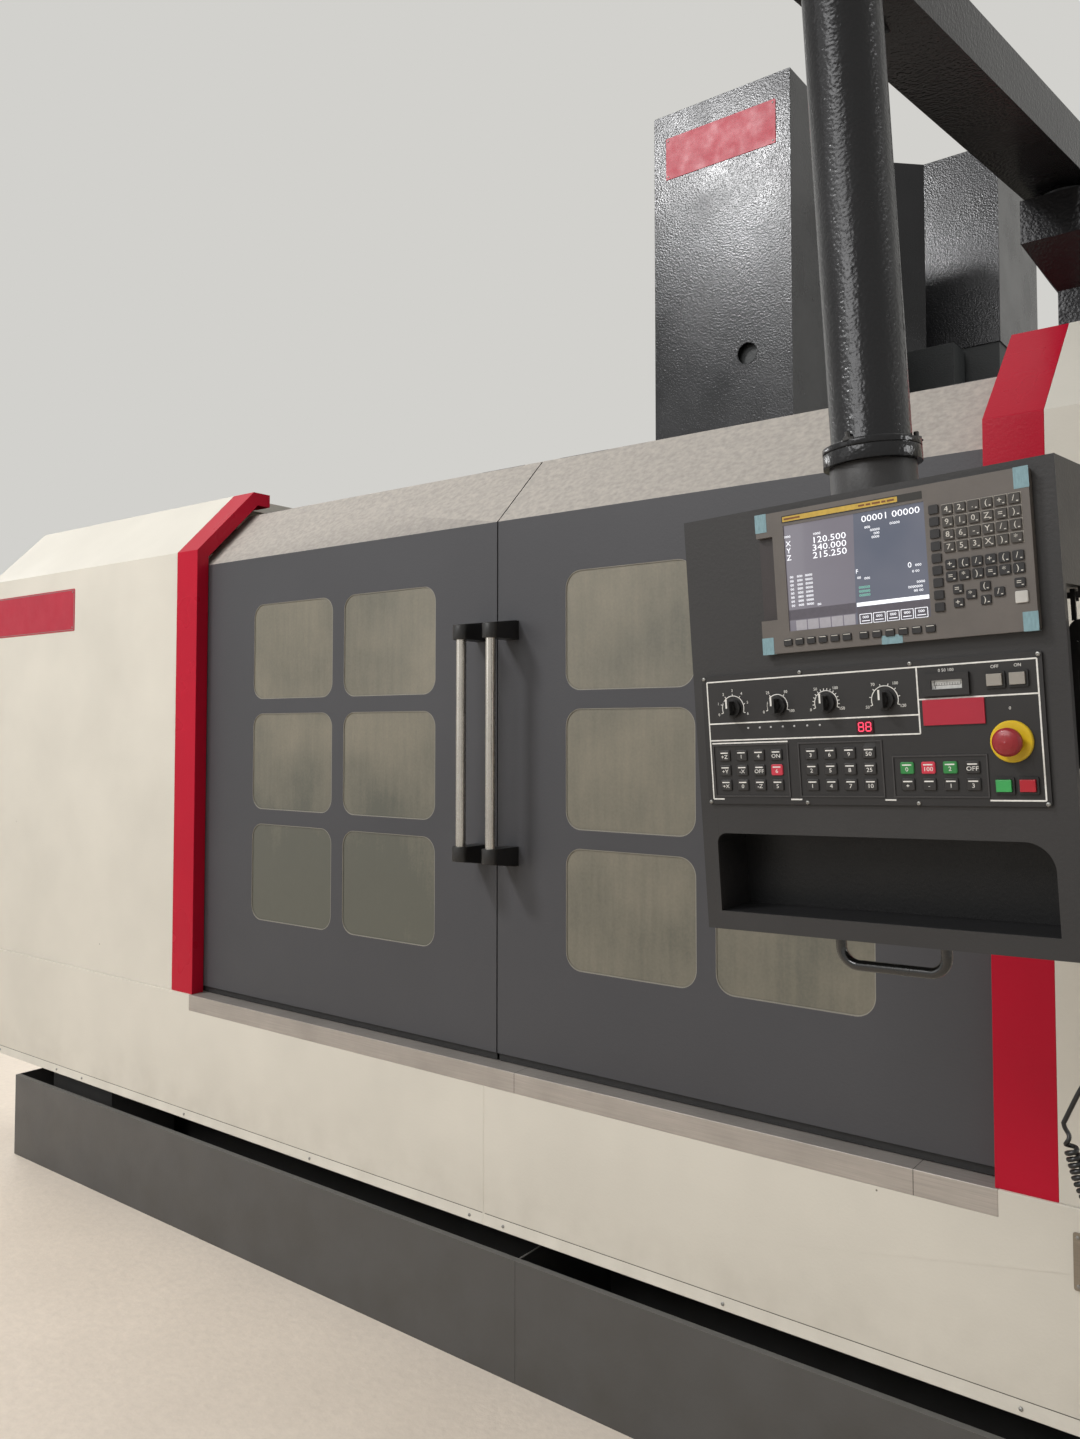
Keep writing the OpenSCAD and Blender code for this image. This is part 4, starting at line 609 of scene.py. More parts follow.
# Materials by maker: each one's colours and values in the maker's order, then its named
# values. A colour is an sRGB code, or the setting that it comes from.
STOCK = {
    painted_sheet: {
        "powder_coat_white": ("enclosure.white", 420, 7.0, 0.48, {"scuffs": "6E675B"}),
        "enamel_red": ("enclosure.red", 500, 7.0, 0.30,
                       {"values": {"Specular IOR Level": 0.18}}),
        "enamel_plate_red": ("enclosure.plate", 90, 16.0, 0.46),
        "enamel_grey": ("enclosure.grey", 600, 6.0, 0.44, {**DULL, "dust": "enclosure.dust"}),
        "paint_grey_patchy": ("enclosure.tank", 300, 8.0, 0.42,
                              {"dust": "6F6D68", "scuffs": "35332F"}),
        "enamel_motor_black": ("1E1F21", 200, 5.0, 0.45),
        "enamel_pendant": ("pendant.box", 260, 5.0, 0.42, DULL),
        "enamel_black_gloss": ("161616", 200, 5.0, 0.2,
                               {"values": {"Coat Weight": 0.6, "Coat Roughness": 0.1}})},
    hammered_enamel: {"hammered_charcoal": ("machine.charcoal", 5.0)},
    cast_enamel: {f"cast_iron_{name}": ("machine.casting", "machine.steel", ways_z)
                  for name, ways_z in (("bed", 0.755), ("saddle", 0.97), ("column", 9),
                                       ("spindle_head", 9), ("arm", 9))},
    worked_steel: {
        "zinc_plated_steel": ("A9A8A4", 0.35, 4.0, EVEN),
        "stainless_brushed_long": ("BDB6AF", 0.42, 3.0, (0.02, 1, 1),
                                   {"values": {"Metallic": 0.55}, "joints": (0.0994, 1.1035)}),
        "stainless_brushed_plate": ("A39B8F", 0.34, 2.0, (0.05, 1, 1)),
        "stainless_polished_tube": ("D8D2C9", 0.22, 2.5, (1, 1, 0.04)),
        "steel_ground": ("9C9A94", 0.32, 4.0, (0.05, 1, 1)),
        "steel_table_ground": ("machine.steel", 0.28, 3.0, (0.03, 1, 1)),
        "steel_turned": ("machine.steel", 0.25, 5.0, EVEN),
        "steel_blackened": ("4B4A49", 0.4, 3.0, EVEN)},
    moulded_plastic: {
        "abs_black": ("1B1A1A", 0.38), "abs_black_gloss": ("2A2929", 0.2),
        "abs_unit_grey": ("pendant.unit", 0.5), "abs_flap_dark": ("332C2C", 0.45),
        "abs_key_pale": ("3B3733", 0.42), "abs_key_dark": ("1D1B1C", 0.42),
        "abs_key_white": ("C9C6C0", 0.42), "abs_frame_black": ("3A3838", 0.4),
        "abs_stop_red": ("98232A", 0.32), "abs_yellow": ("E2BE1E", 0.4),
        "abs_dial": ("2B2B2D", 0.35), "acrylic_red": ("B51E2D", 0.3),
        "acrylic_green": ("3FA85A", 0.3), "acrylic_light": ("9A958D", 0.35),
        "acrylic_key_grey": ("2A2828", 0.35), "acrylic_dark_red": ("3A0A14", 0.2),
        "acrylic_key_green": ("2C7A3E", 0.35, {"glow": 0.2}),
        "acrylic_key_red": ("B52F40", 0.35, {"glow": 0.3}),
        "plastic_magazine": ("232325", 0.4), "polyester_foil_black": ("pendant.panel", 0.5),
        "sealant_grey": ("57544C", 0.6), "rubber_edge": ("8E8A80", 0.5),
        "epdm_black": ("1C1C1D", 0.6), "pvc_sheath_black": ("151515", 0.32, 3.0, 0.02)},
    clear_print: {
        "ink_white": ("F2F0EA",), "ink_grey": ("DAD6CC",), "ink_light": ("A8A298",),
        "ink_black": ("1D1A14",), "ink_yellow": ("pendant.band",), "ink_brown": ("7A4A20",),
        "lamp_white": ("CFCFCF",), "card_white": ("C4C4C0", 0.15), "lit_white": ("E6E8EE", 0.8),
        "lit_dark": ("4E4A52", 0.35), "lit_grey": ("8E8B90", 0.5), "lit_green": ("6FB5A2", 0.7),
        "lit_red": ("FF3B5A", 1.6)},
    filmed_pane: {"polycarbonate_filmed": ("enclosure.pane", "enclosure.pane_dark")},
    lit_display: {"display_lit": ("33343C", "7C757E", "585F70", "8E8B93",
                                  (DISPLAY @ Vector((152, -10, 101))).x)},
    tacky_tape: {"tape_blue": ("pendant.tape",)},
    cast_floor: {"concrete_worn": ("stage.floor", "stage.backdrop")},
}
MADE = {}                # the listed materials made so far


def tone(value):
    """A colour from its code or its setting; any other value stays as it is."""
    if not isinstance(value, str):
        return value
    if "." not in value:
        return linear(value)
    group, key = value.split(".")
    return tuple(getattr(getattr(bpy.context.scene, "machine_" + group), key))


def stock(name):
    """Makes a listed material once and gives it again later."""
    if name not in MADE:
        maker, row = next((maker, list(rows[name])) for maker, rows in STOCK.items()
                          if name in rows)
        options = row.pop() if isinstance(row[-1], dict) else {}
        MADE[name] = maker(name, *map(tone, row), **{k: tone(v) for k, v in options.items()})
    return MADE[name]


# Operators: one for each group of pieces

class MACHINE_OT_stage(bpy.types.Operator):
    """Makes the camera, the lamps, the backdrop and the floor"""
    bl_idname = "machine.stage"
    bl_label = "Stage"

    CAMERA = (1.867, -2.195, 1.600)
    YAW, PITCH = -0.6548, 0.042
    SHIFT_Y = -0.0238
    # Name, place and target in metres, width, height, watts
    LAMPS = (("key", (-2.9, -4.4, 6.95), (0.0, 1.3, 2.9), 1.3, 0.8, 300),
             ("front", (-0.6, -6.8, 5.7), (0.2, 0.0, 1.2), 3.4, 2.4, 185),
             ("left", (-5.0, -7.0, 3.6), (0.0, 0.3, 1.3), 4.0, 3.6, 50),
             ("ceiling", (-3.2, 0.8, 6.4), (-1.4, 0.6, 1.5), 4.5, 3.5, 45),
             ("side_left", (-8.5, 2.6, 3.6), (-2.6, 1.4, 1.2), 3.0, 2.4, 190),
             ("side_right", (8.5, 2.2, 3.6), (2.6, 1.4, 1.2), 3.0, 2.4, 190),
             ("back", (-3.4, 8.8, 2.5), (0.0, 3.2, 1.7), 5.0, 2.8, 330))
    FLOOR = (-30000, -30000, 60000, 60000)   # a rectangle in millimetres

    def execute(self, context):
        scene = context.scene
        camera = bpy.data.cameras.new("camera")
        camera.sensor_width, camera.lens = 36.0, scene.machine_stage.lens
        camera.shift_y = self.SHIFT_Y
        camera.clip_start, camera.clip_end = 0.05, 100.0
        ahead = Vector((math.sin(self.YAW) * math.cos(self.PITCH),
                        math.cos(self.YAW) * math.cos(self.PITCH), math.sin(self.PITCH)))
        scene.camera = self.aimed(scene, camera, self.CAMERA, ahead)
        for name, place, target, width, height, power in self.LAMPS:
            lamp = bpy.data.lights.new(name, "AREA")
            lamp.shape, lamp.size, lamp.size_y, lamp.energy = "RECTANGLE", width, height, power
            holder = self.aimed(scene, lamp, place, Vector(target) - Vector(place))
            holder.visible_camera = False
        self.backdrop(scene)
        bm = bmesh.new()
        slab(bm, ROW @ turned(-90, "X"), self.FLOOR, 0, 0, 20)
        mesh_object("floor", bm, "concrete_worn")
        scene.view_settings.view_transform = "Standard"
        return {"FINISHED"}

    def aimed(self, scene, data, place, ahead):
        """Links a camera or a lamp at a place in metres, looking ahead."""
        made = bpy.data.objects.new(data.name, data)
        made.location = place
        made.rotation_euler = ahead.to_track_quat("-Z", "Y").to_euler()
        scene.collection.objects.link(made)
        return made

    def backdrop(self, scene):
        """Plain backdrop for the camera, gloss and glass, and a dimmer even light."""
        scene.world = bpy.data.worlds.new("backdrop")
        scene.world.use_nodes = True
        tree = scene.world.node_tree
        tree.nodes.clear()
        light = add_node(tree, "Background", {"Color": (1, 1, 1, 1), "Strength": 0.22})
        shown = add_node(tree, "Background", {"Color": (*scene.machine_stage.backdrop, 1),
                                              "Strength": 1.0})
        mix = add_node(tree, "MixShader", {0: seen_rays(tree), 1: light.outputs[0],
                                           2: shown.outputs[0]})
        add_node(tree, "OutputWorld", {0: mix.outputs[0]})


class MACHINE_OT_cord(bpy.types.Operator):
    """Makes the handwheel's cord: a straight lead, then a curl that its own weight opens"""
    bl_idname = "machine.cord"
    bl_label = "Handwheel cord"

    LEAD = [(582, 104, 216), (582, 104, 190), (583, 101, 140), (584, 94, 85), (583, 82, 30),
            (580, 66, -25), (571, 50, -80), (556, 39, -120), (541, 34, -145), (526, 30, -170),
            (514, 28, -194), (503, 26, -217)]
    CURL = [(505, 26, -219), (511, 26, -243), (516, 26, -267), (522, 26, -291), (538, 27, -327),
            (562, 29, -357), (590, 33, -378), (622, 37, -384), (652, 42, -370), (674, 48, -338),
            (684, 56, -293), (686, 68, -228), (680, 82, -152), (664, 95, -82), (640, 105, -20),
            (612, 110, 28), (584, 112, 54), (562, 112, 60), (542, 112, 60)]
    # The last turns at each end shrink and open over this many millimetres
    RUN_OUT, OPENING = 30, 34
    PER_TURN = 14            # points in one turn
    END_GAP = 1.5            # the turns stop at least this far from the gland

    def execute(self, context):
        scene = context.scene
        settings = scene.machine_cord
        line = self.smooth(self.CURL, 60)
        local = self.smooth(self.LEAD, 6)[:-1] + self.turns(line, settings) + [line[-1]]
        route = [PENDANT @ p for p in local]
        shape = bpy.data.curves.new("handwheel_cord", "CURVE")
        shape.dimensions = "3D"
        shape.bevel_depth, shape.bevel_resolution = settings.cord_d / 2, 2
        shape.use_fill_caps = True
        spline = shape.splines.new("POLY")
        spline.points.add(len(route) - 1)
        for point, p in zip(spline.points, route):
            point.co = (*p, 1)
        shape.materials.append(stock("pvc_sheath_black"))
        cord = bpy.data.objects.new("handwheel_cord", shape)
        scene.collection.objects.link(cord)
        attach(cord, "pendant")
        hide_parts("cord_lead", "cord_curl")
        self.sleeves()
        return {"FINISHED"}

    def smooth(self, points, steps):
        """Points on a smooth curve through a route."""
        p = [Vector(q) for q in points]
        out = []
        for i in range(len(p) - 1):
            a, b, c, d = p[max(i - 1, 0)], p[i], p[i + 1], p[min(i + 2, len(p) - 1)]
            for s in range(steps):
                t = s / steps
                out.append(0.5 * (2 * b + (c - a) * t + (2 * a - 5 * b + 4 * c - d) * t * t
                                  + (3 * b - a - 3 * c + d) * t ** 3))
        return out + [p[-1]]

    def turns(self, line, settings):
        """The curl's points about its axis line; its turns stand closest where it hangs
        lowest."""
        radius = (settings.curl_d - settings.cord_d) * 500
        lowest = min(p.z for p in line)
        reach = max(p.z for p in line) - lowest
        total = sum((b - a).length for a, b in zip(line, line[1:]))
        points, phase, side = [], 0.0, Vector((0, 1, 0))
        along = next_point = 0.0
        for a, b in zip(line, line[1:]):
            ahead = (b - a).normalized()
            side = (side - ahead * side.dot(ahead)).normalized()
            up = ahead.cross(side)
            rise = (a.z - lowest) / reach
            pitch = 1000 * (settings.pitch_low
                            + (settings.pitch_high - settings.pitch_low) * rise ** 1.5)
            while next_point < along + (b - a).length:
                here = a + ahead * (next_point - along)
                ends = min(next_point / self.RUN_OUT, (total - next_point) / self.RUN_OUT, 1.0)
                points.append(here + radius * ends * (math.cos(phase) * side
                                                      + math.sin(phase) * up))
                phase += 2 * math.pi / self.PER_TURN
                next_point += (pitch + self.OPENING * (1 - ends)) / self.PER_TURN
            along += (b - a).length
        while (points[-1] - line[-1]).length < self.END_GAP:
            points.pop()
        return points

    def sleeves(self):
        """Tapered, ribbed strain relief at the case and a lock nut at the gland."""
        profile = [(3.0, -26), (3.6, -26)]
        for i in range(6):
            r, h = 4.0 + 0.45 * i, -25 + 4 * i
            profile += [(r, h), (r, h + 2.2), (r - 0.7, h + 2.4), (r - 0.7, h + 3.8)]
        nut = [(3.2, -6), (12.5, -6), (12.5, 2), (11, 3.5), (3.2, 3.5)]
        with piece("cord_sleeves", "pvc_sheath_black", slot="cord_rubber") as bm:
            lathe(bm, PENDANT, (582, 104, 216.5), UP, profile + [(3.0, 0)], 20, closed=True)
            lathe(bm, PENDANT, (542, 112, 60), (1, 0, 0), nut, 6, closed=True)


class MACHINE_OT_enclosure(bpy.types.Operator):
    """Finishes the wings, aprons, trims, sill and back, with their screws and plates"""
    bl_idname = "machine.enclosure"
    bl_label = "Enclosure"

    FLANGE_SCREWS = (-2480, -2062, -1890, -1276, -663, -45, 67, 685, 1298, 1910, 2480)
    FLANGE_TILT = (0, -0.976, 0.217)         # the way that the foot flange faces
    PLATE = (-2612, 1976, 603, 158)          # bare plate: x, z, width, height
    WALL_Y = 2600                            # outer face of the rear wall

    def execute(self, context):
        edge = context.scene.machine_enclosure.edge
        dress("powder_coat_white", "housing_left housing_right apron_left apron_right", edge)
        dress("powder_coat_white", "rear_wall electrical_cabinet", edge)
        dress("enamel_red", "red_trims", edge)
        dress("stainless_brushed_long", "door_sill", edge)
        dress("steel_ground", "top_rail")
        self.front()
        self.socket()
        self.back()
        return {"FINISHED"}

    def front(self):
        """Screws of the foot flange, a grey strip that paints the shade in its crease, and the
        left wing's bare plate.
        """
        with piece("flange_screws", "zinc_plated_steel", "machine", "stainless") as bm:
            for x in self.FLANGE_SCREWS:
                pan_screw(bm, ROW, (x, -3.4, 357), self.FLANGE_TILT, 8)
        # Painted shade: a thin grey strip where the foot flange meets the apron, for the
        # crease's shade
        with piece("flange_crease_shade", "sealant_grey", "machine") as bm:
            for x in (-2650, 4):
                slab(bm, ROW, (x, 371.4, 2646, 1.6), 0, -0.35, 0.2)
        with piece("wing_plate", "enamel_plate_red", "machine", "trim_red") as bm:
            slab(bm, ROW, self.PLATE, 5, 4.2, 6.0, 0.5)
        with piece("wing_plate_rivets", "zinc_plated_steel", "machine", "stainless") as bm:
            rim(bm, ROW, grown(self.PLATE, -4), 2, (4, 3), 4.05, 4.4)
            x, z, w, h = grown(self.PLATE, -13)
            screw_grid(bm, ROW, (x, x + w), 4.2, (z, z + h), 6)

    def socket(self):
        """The service socket's plate, its screws and the rings round its hole."""
        dress("stainless_brushed_plate", "service_socket", 0.0006)
        with piece("socket_screws", "zinc_plated_steel", "machine", "stainless") as bm:
            screw_grid(bm, ROW, (1400, 1460), -3, (607, 693), 7)
        with piece("socket_rings", "abs_black", "machine", "black_plastic") as bm:
            for y, profile in ((-3, [(17.2, 0), (22, 0), (22, 4), (20, 6), (17.2, 6)]),
                               (-12, [(13.6, -1), (16.6, -1), (16.6, 1.2), (14.2, 1.6),
                                      (13.6, 1.2)])):
                lathe(bm, ROW, (1430, y, 650), FORWARD, profile, 40, closed=True)

    def back(self):
        """Hinges and swing handles of the cabinet's two leaves, and the back sheets' screws."""
        (x0, _, _), (x1, back, top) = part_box("electrical_cabinet")
        x0, x1, back, top = (1000 * v for v in (x0, x1, back, top))
        hinge = [(0, 0), (7, 0), (7, 38), (5.5, 39), (5.5, 41), (7, 42), (7, 80), (0, 80)]
        with piece("cabinet_hinges", "zinc_plated_steel", "machine", "stainless") as bm:
            for x in (x0 + 10, x1 - 10):
                for z in (360, 1080, top - 330):
                    lathe(bm, ROW, (x, back + 1, z), UP, hinge, 16)
        behind = ROW @ Matrix.Translation((0, back, 0)) @ turned(180, "Z")
        with piece("cabinet_locks", "abs_black", "machine", "black_plastic") as bm:
            for side in (-62, 62):
                x = -(x0 + x1) / 2 - side
                slab(bm, behind, (x - 15, 980, 30, 170), 12, -7, 0.5, 2)
                slab(bm, behind, (x - 9, 995, 18, 118), 8, -17, -6, 3)
                lathe(bm, behind, (x, -7, 1130), FORWARD, [(0, 0), (8, 0), (8, 3), (0, 3)], 20)
        wall = ROW @ Matrix.Translation((0, self.WALL_Y, 0)) @ turned(180, "Z")
        with piece("back_screws", "zinc_plated_steel", "machine", "stainless") as bm:
            for side in (-1, 1):
                screw_grid(bm, wall, [side * 1420], 0, range(1000, 2321, 330), 12)
                screw_grid(bm, wall, [side * x for x in range(720, 1321, 150)], 0, [2405], 12)


class MACHINE_OT_doors(bpy.types.Operator):
    """Finishes the doors with their panes, pale rings painted as highlights on the window edges,
    handles, and foot seals whose black also paints the shade under the doors
    """
    bl_idname = "machine.doors"
    bl_label = "Doors"

    # Lower left corners of the windows of the right door; the left door mirrors it
    WINDOWS = [(x, z) for x in (223, 643) for z in (1008, 1356, 1704)]
    # Folded seal strip, whose black also paints the shade under the door: its section as
    # (y, z), and its two ends as x
    SEAL = ((58, 763.8), (61, 763.8), (61, 748), (86, 748), (86, 763.8), (89, 763.8),
            (89, 745), (58, 745))
    SEAL_ENDS = (4, 1296)
    # End faces of the handle's caps: the lower one's z at y = 52, its slope, and their distance
    CAP_Z, CAP_SLOPE, CAP_SPAN = 1253, 14 / 110, 637

    def execute(self, context):
        dress("enamel_grey", "door_left door_right", context.scene.machine_enclosure.edge)
        dress("polycarbonate_filmed", "panes_left panes_right")
        dress("stainless_polished_tube", "handle_tube_left handle_tube_right")
        dress("abs_black", "handle_caps_left handle_caps_right", 0.0015)
        for side, word in ((-1, "left"), (1, "right")):
            place = ROW @ Matrix.Diagonal((side, 1, 1, 1))
            # Painted highlight: pale rings in the windows' cut-outs, for the light on the
            # sheet's cut edges
            with piece(f"window_edge_highlights_{word}", "rubber_edge", f"door_{word}", "pane") as bm:
                for x, z in self.WINDOWS:
                    rim(bm, place, (x - 0.1, z - 0.1, 371.2, 302.2), 2, (45.1, 43.1), 52.6,
                        55.0, 8)
            # Black rubber seal, whose black also paints the shade in the gap between door and
            # sill
            with piece(f"foot_seal_and_shade_{word}", "epdm_black", f"door_{word}", "cord_rubber") as bm:
                rings = [[bm.verts.new(place @ Vector((x, y, z))) for y, z in self.SEAL]
                         for x in self.SEAL_ENDS]
                bridge(bm, rings)
                for ring in rings:
                    bm.faces.new(ring)
            self.cap_rims(place, word)
        return {"FINISHED"}

    def cap_rims(self, place, word):
        """Raised rim round each cap's sloping end face."""
        face = arc_points((50, -36), 20.5, 180, 360, 16) + [(70.5, 44), (29.5, 44)]
        low = [(x, y, self.CAP_Z + self.CAP_SLOPE * (52 - y) - 0.5) for x, y in face]
        high = [(x, y, 2 * self.CAP_Z + self.CAP_SPAN - z) for x, y, z in low]
        with piece(f"handle_rims_{word}", "abs_black_gloss", f"door_{word}",
                   "black_plastic") as bm:
            for points in (low, high):
                sweep(bm, place, points, 1.3, 6)


class MACHINE_OT_tanks(bpy.types.Operator):
    """Finishes the coolant tanks: patchy paint, dusty on top and grimy near the floor"""
    bl_idname = "machine.tanks"
    bl_label = "Coolant tanks"

    def execute(self, context):
        dress("paint_grey_patchy", "coolant_tank_left coolant_tank_right",
              context.scene.machine_enclosure.edge)
        return {"FINISHED"}


class MACHINE_OT_hoods(bpy.types.Operator):
    """Finishes the head's and the column's hoods, with the head's bare plate"""
    bl_idname = "machine.hoods"
    bl_label = "Head and column hoods"

    def execute(self, context):
        dress("hammered_charcoal", "head_cover column_cover", 0.0012)
        with piece("head_plate", "enamel_plate_red", "head", "trim_red") as bm:
            slab(bm, ROW, (-223, 3655, 443, 158), 4, 1300.2, 1302, 0.5)
        with piece("head_plate_rivets", "zinc_plated_steel", "head", "stainless") as bm:
            screw_grid(bm, ROW, (-213, 210), 1300.2, (3666, 3802), 7)
        with piece("head_hole_edge", "hammered_charcoal", "head", "dark_paint") as bm:
            lathe(bm, ROW, (103, 1305, 2935), FORWARD, [(37.4, -8), (38.6, -8), (38.6, 3.4),
                                                        (37.4, 3.4)], 40, closed=True)
        return {"FINISHED"}


class MACHINE_OT_inside(bpy.types.Operator):
    """Finishes the castings, ways, screws, motors and the tool changer"""
    bl_idname = "machine.inside"
    bl_label = "Working parts"

    def execute(self, context):
        for name in ("bed", "saddle", "column", "spindle_head"):
            dress("cast_iron_" + name, name, 0.002)
        dress("cast_iron_arm", "magazine_frame arm_drive", 0.002)
        dress("steel_table_ground", "table", 0.001)
        dress("steel_turned", "spindle x_screw y_screw z_screw change_arm levelling_feet")
        dress("enamel_motor_black", "spindle_motor x_motor y_motor z_motor", 0.002)
        dress("plastic_magazine", "magazine_disc", 0.0015)
        return {"FINISHED"}


class MACHINE_OT_arm(bpy.types.Operator):
    """Finishes the pendant arm and its bracket, with the flange's bolts and the post's weld"""
    bl_idname = "machine.arm"
    bl_label = "Pendant arm"

    # The flange's bolts: radius and degrees of their circle, and its two directions
    BOLT_RADIUS, BOLT_ANGLES = 64, (-31, 89, 209)
    TOWARD, RIGHT = Vector((0.422, -0.906, 0)), Vector((0.906, 0.420, 0))

    def execute(self, context):
        dress("hammered_charcoal", "pendant_arm arm_bracket", 0.0015)
        with piece("flange_bolts", "steel_blackened", "arm") as bm:
            for a in map(math.radians, self.BOLT_ANGLES):
                spot = Vector((BOX_W / 2, POST_SET, 719)) + self.BOLT_RADIUS * (
                    math.cos(a) * self.TOWARD + math.sin(a) * self.RIGHT)
                hex_bolt(bm, PENDANT, spot, UP, 9)
                lathe(bm, PENDANT, spot, UP, [(0, 5), (4, 5), (4, 13), (3, 14), (0, 14)], 12)
        foot = PENDANT @ Matrix.Translation((BOX_W / 2, POST_SET, 720.5))
        with piece("post_weld", "hammered_charcoal", "arm", "dark_paint") as bm:
            sweep(bm, foot, [ring_point(60, k, 40) for k in range(40)], 3.0, 8)
        return {"FINISHED"}


class MACHINE_OT_pendant(bpy.types.Operator):
    """Finishes the pendant's box, tray and grab tube, with painted shade inside the tray"""
    bl_idname = "machine.pendant"
    bl_label = "Pendant box"

    # Inside of the tray: its lower and upper x, y and z
    TRAY = ((26, 526), (4, 88), (26, 151))

    def execute(self, context):
        self.paint_tray_shade(stock("enamel_pendant"))
        dress("enamel_pendant", "pendant_box", 0.0018)
        dress("enamel_black_gloss", "grab_handle")
        return {"FINISHED"}

    def paint_tray_shade(self, material):
        """Painted shade: near black over the enamel inside the tray, for the shade in its
        recess.
        """
        tree = material.node_tree
        shader = tree.nodes["Principled BSDF"]
        skin = shader.inputs["Base Color"].links[0].from_socket
        local = add_node(tree, "Mapping", {
            "Vector": add_node(tree, "TexCoord").outputs["Object"],
            "Location": PENDANT @ Vector([(a + b) / 2 for a, b in self.TRAY]),
            "Rotation": PENDANT.to_euler(),
            "Scale": [(b - a) / 2000 for a, b in self.TRAY]}, vector_type="TEXTURE")
        away = add_node(tree, "VectorMath", {0: local.outputs[0]}, operation="ABSOLUTE")
        x, y, z = add_node(tree, "SeparateXYZ", {0: away.outputs[0]}).outputs
        most = add_node(tree, "Math", {0: x, 1: y}, operation="MAXIMUM").outputs[0]
        most = add_node(tree, "Math", {0: most, 1: z}, operation="MAXIMUM").outputs[0]
        inside = add_node(tree, "Math", {0: most, 1: 1.0}, operation="LESS_THAN").outputs[0]
        # Painted shade: near black inside the tray's recess, over the enamel's own colour
        tray_shade = add_node(tree, "Mix", {0: inside, 6: skin, 7: (*linear("1B1B1C"), 1)},
                         data_type="RGBA").outputs[2]
        tree.links.new(tray_shade, shader.inputs["Base Color"])


class MACHINE_OT_display(bpy.types.Operator):
    """Finishes the display unit: screen, readout, keys with their figures, band and tape"""
    bl_idname = "machine.display"
    bl_label = "Display unit"

    FRONT = -12.0
    # Keys as (x, z, width, height): pale ones, dark and cursor ones, and the plain ones below
    # and beside the screen
    UPPER = [(282 + i * 17.3, 113.5 + j * 16.8, 14, 13) for i in range(6) for j in range(4)]
    LOWER = [(282 + i * 17.3, 74.5 + j * 16.2, 14, 13) for i in range(6) for j in range(2)]
    LOWER += [(x, z, 13, 12) for x, z in ((289.9, 57.4), (289.9, 39.4), (306.8, 48.7),
                                          (325.3, 57.4), (325.3, 39.4), (342.8, 47.7),
                                          (369, 56.4))]
    BELOW = [(x + i * pitch, 10, 13, 10) for x, pitch in ((36, 18.6), (154.5, 19))
             for i in range(6)]
    BESIDE = [(264.2, 36.2 + j * 16.4, 13, 12) for j in range(9)]
    MARKS = "789456123-0.XYZ" + "()/=+*" * 5   # on the keys of UPPER, then of LOWER
    # The readout's large figures (text, x, z, height, stretch) and its small ones (x, z, text)
    LARGE = (("X", 51.5, 159.5, 7.6, 1.1), ("120.500", 116, 158.8, 9.0, 1.3),
             ("Y", 51.5, 149.1, 7.6, 1.1), ("340.000", 116, 147.8, 9.0, 1.3),
             ("Z", 51.5, 138.7, 7.6, 1.1), ("215.250", 116, 136.8, 9.0, 1.3),
             ("00001 00000", 209, 177, 9.0, 1.25), ("F", 155.5, 105, 6.0, 1.0),
             ("0", 232, 104, 7.5, 1.1))
    SMALL = [(x, 110 - 6.0 * row, text) for row in range(8)
             for x, text in ((53.5, "00"), (66.5, "000"), (81, "0000"))]
    SMALL += [(50, 170, "0000"), (98, 168, "0000"), (175, 165, "000"), (186, 160, "00000"),
              (188, 155, "000"), (186, 150, "0000"), (158, 96, "00"), (170, 94, "000"),
              (244, 103, "000"), (240, 95, "0 00"), (246, 80, "0000"), (238, 74, "0000000"),
              (242, 68.5, "00 00"), (95, 66, "00"), (215, 165, "00000")]
    # Tapes as (x, z, width, height)
    TAPES = ((-0.6, 182, 19, 27.6), (375.6, 182, 19, 27.6), (375.6, -0.6, 19, 25),
             (-0.6, -0.6, 19, 25), (186, -0.6, 30, 12))

    def execute(self, context):
        dress("abs_unit_grey", "display_unit", 0.0006)
        dress("display_lit", "display_screen")
        self.keys()
        self.band()
        self.readout()
        self.tapes()
        with piece("display_card_flap", "abs_flap_dark", slot="black_plastic") as bm:
            slab(bm, DISPLAY, (0.3, 50.3, 27.4, 123.4), 0, -3.6, -2.9)
        return {"FINISHED"}

    def keys(self):
        """Pale lines along the pale keys' tops and right sides, painted highlights of their
        edges;
        then the keys, and what they carry.
        """
        front, top = self.FRONT, self.FRONT - 2.25
        # Painted highlight: light lines on the unit's face along each pale key's top and right
        # edges
        with piece("display_key_edge_highlights", "ink_light") as bm:
            for x, z, w, h in self.UPPER:
                strokes(bm, DISPLAY, 0.7, front - 0.1, front + 0.2, [
                    (x - 1, z + h + 1, x + w + 1.4, z + h + 1),
                    (x + w + 1, z - 1, x + w + 1, z + h + 1)])
        for shade, slot, spots in (
                ("pale", "black_plastic", self.UPPER),
                ("dark", "black_plastic", self.LOWER + self.BELOW + self.BESIDE),
                ("white", "button_light", [(368.6, 36.5, 15.6, 15)])):
            with piece("display_keys_" + shade, "abs_key_" + shade, slot=slot) as bm:
                for spot in spots:
                    slab(bm, DISPLAY, grown(spot, 0.2), 1.6, front - 2.2, front, 0.7, 2)
        with piece("display_key_marks", "ink_grey") as bm:
            for mark, (x, z, w, h) in zip(self.MARKS, self.UPPER + self.LOWER):
                figures(bm, DISPLAY, mark, x + w / 2 - 1, z + h / 2 + 0.5, top, 7.4, 1.1)
                bar(bm, DISPLAY, (x + w - 4.4, z + 3), (x + w - 1.8, z + 3), 1.3, top - 0.1,
                    top + 0.1)
            for x, z, w, h in self.BELOW:
                bar(bm, DISPLAY, (x + 1.5, z + h - 1.4), (x + w - 1.5, z + h - 1.4), 0.9,
                    top - 0.1, top + 0.1)

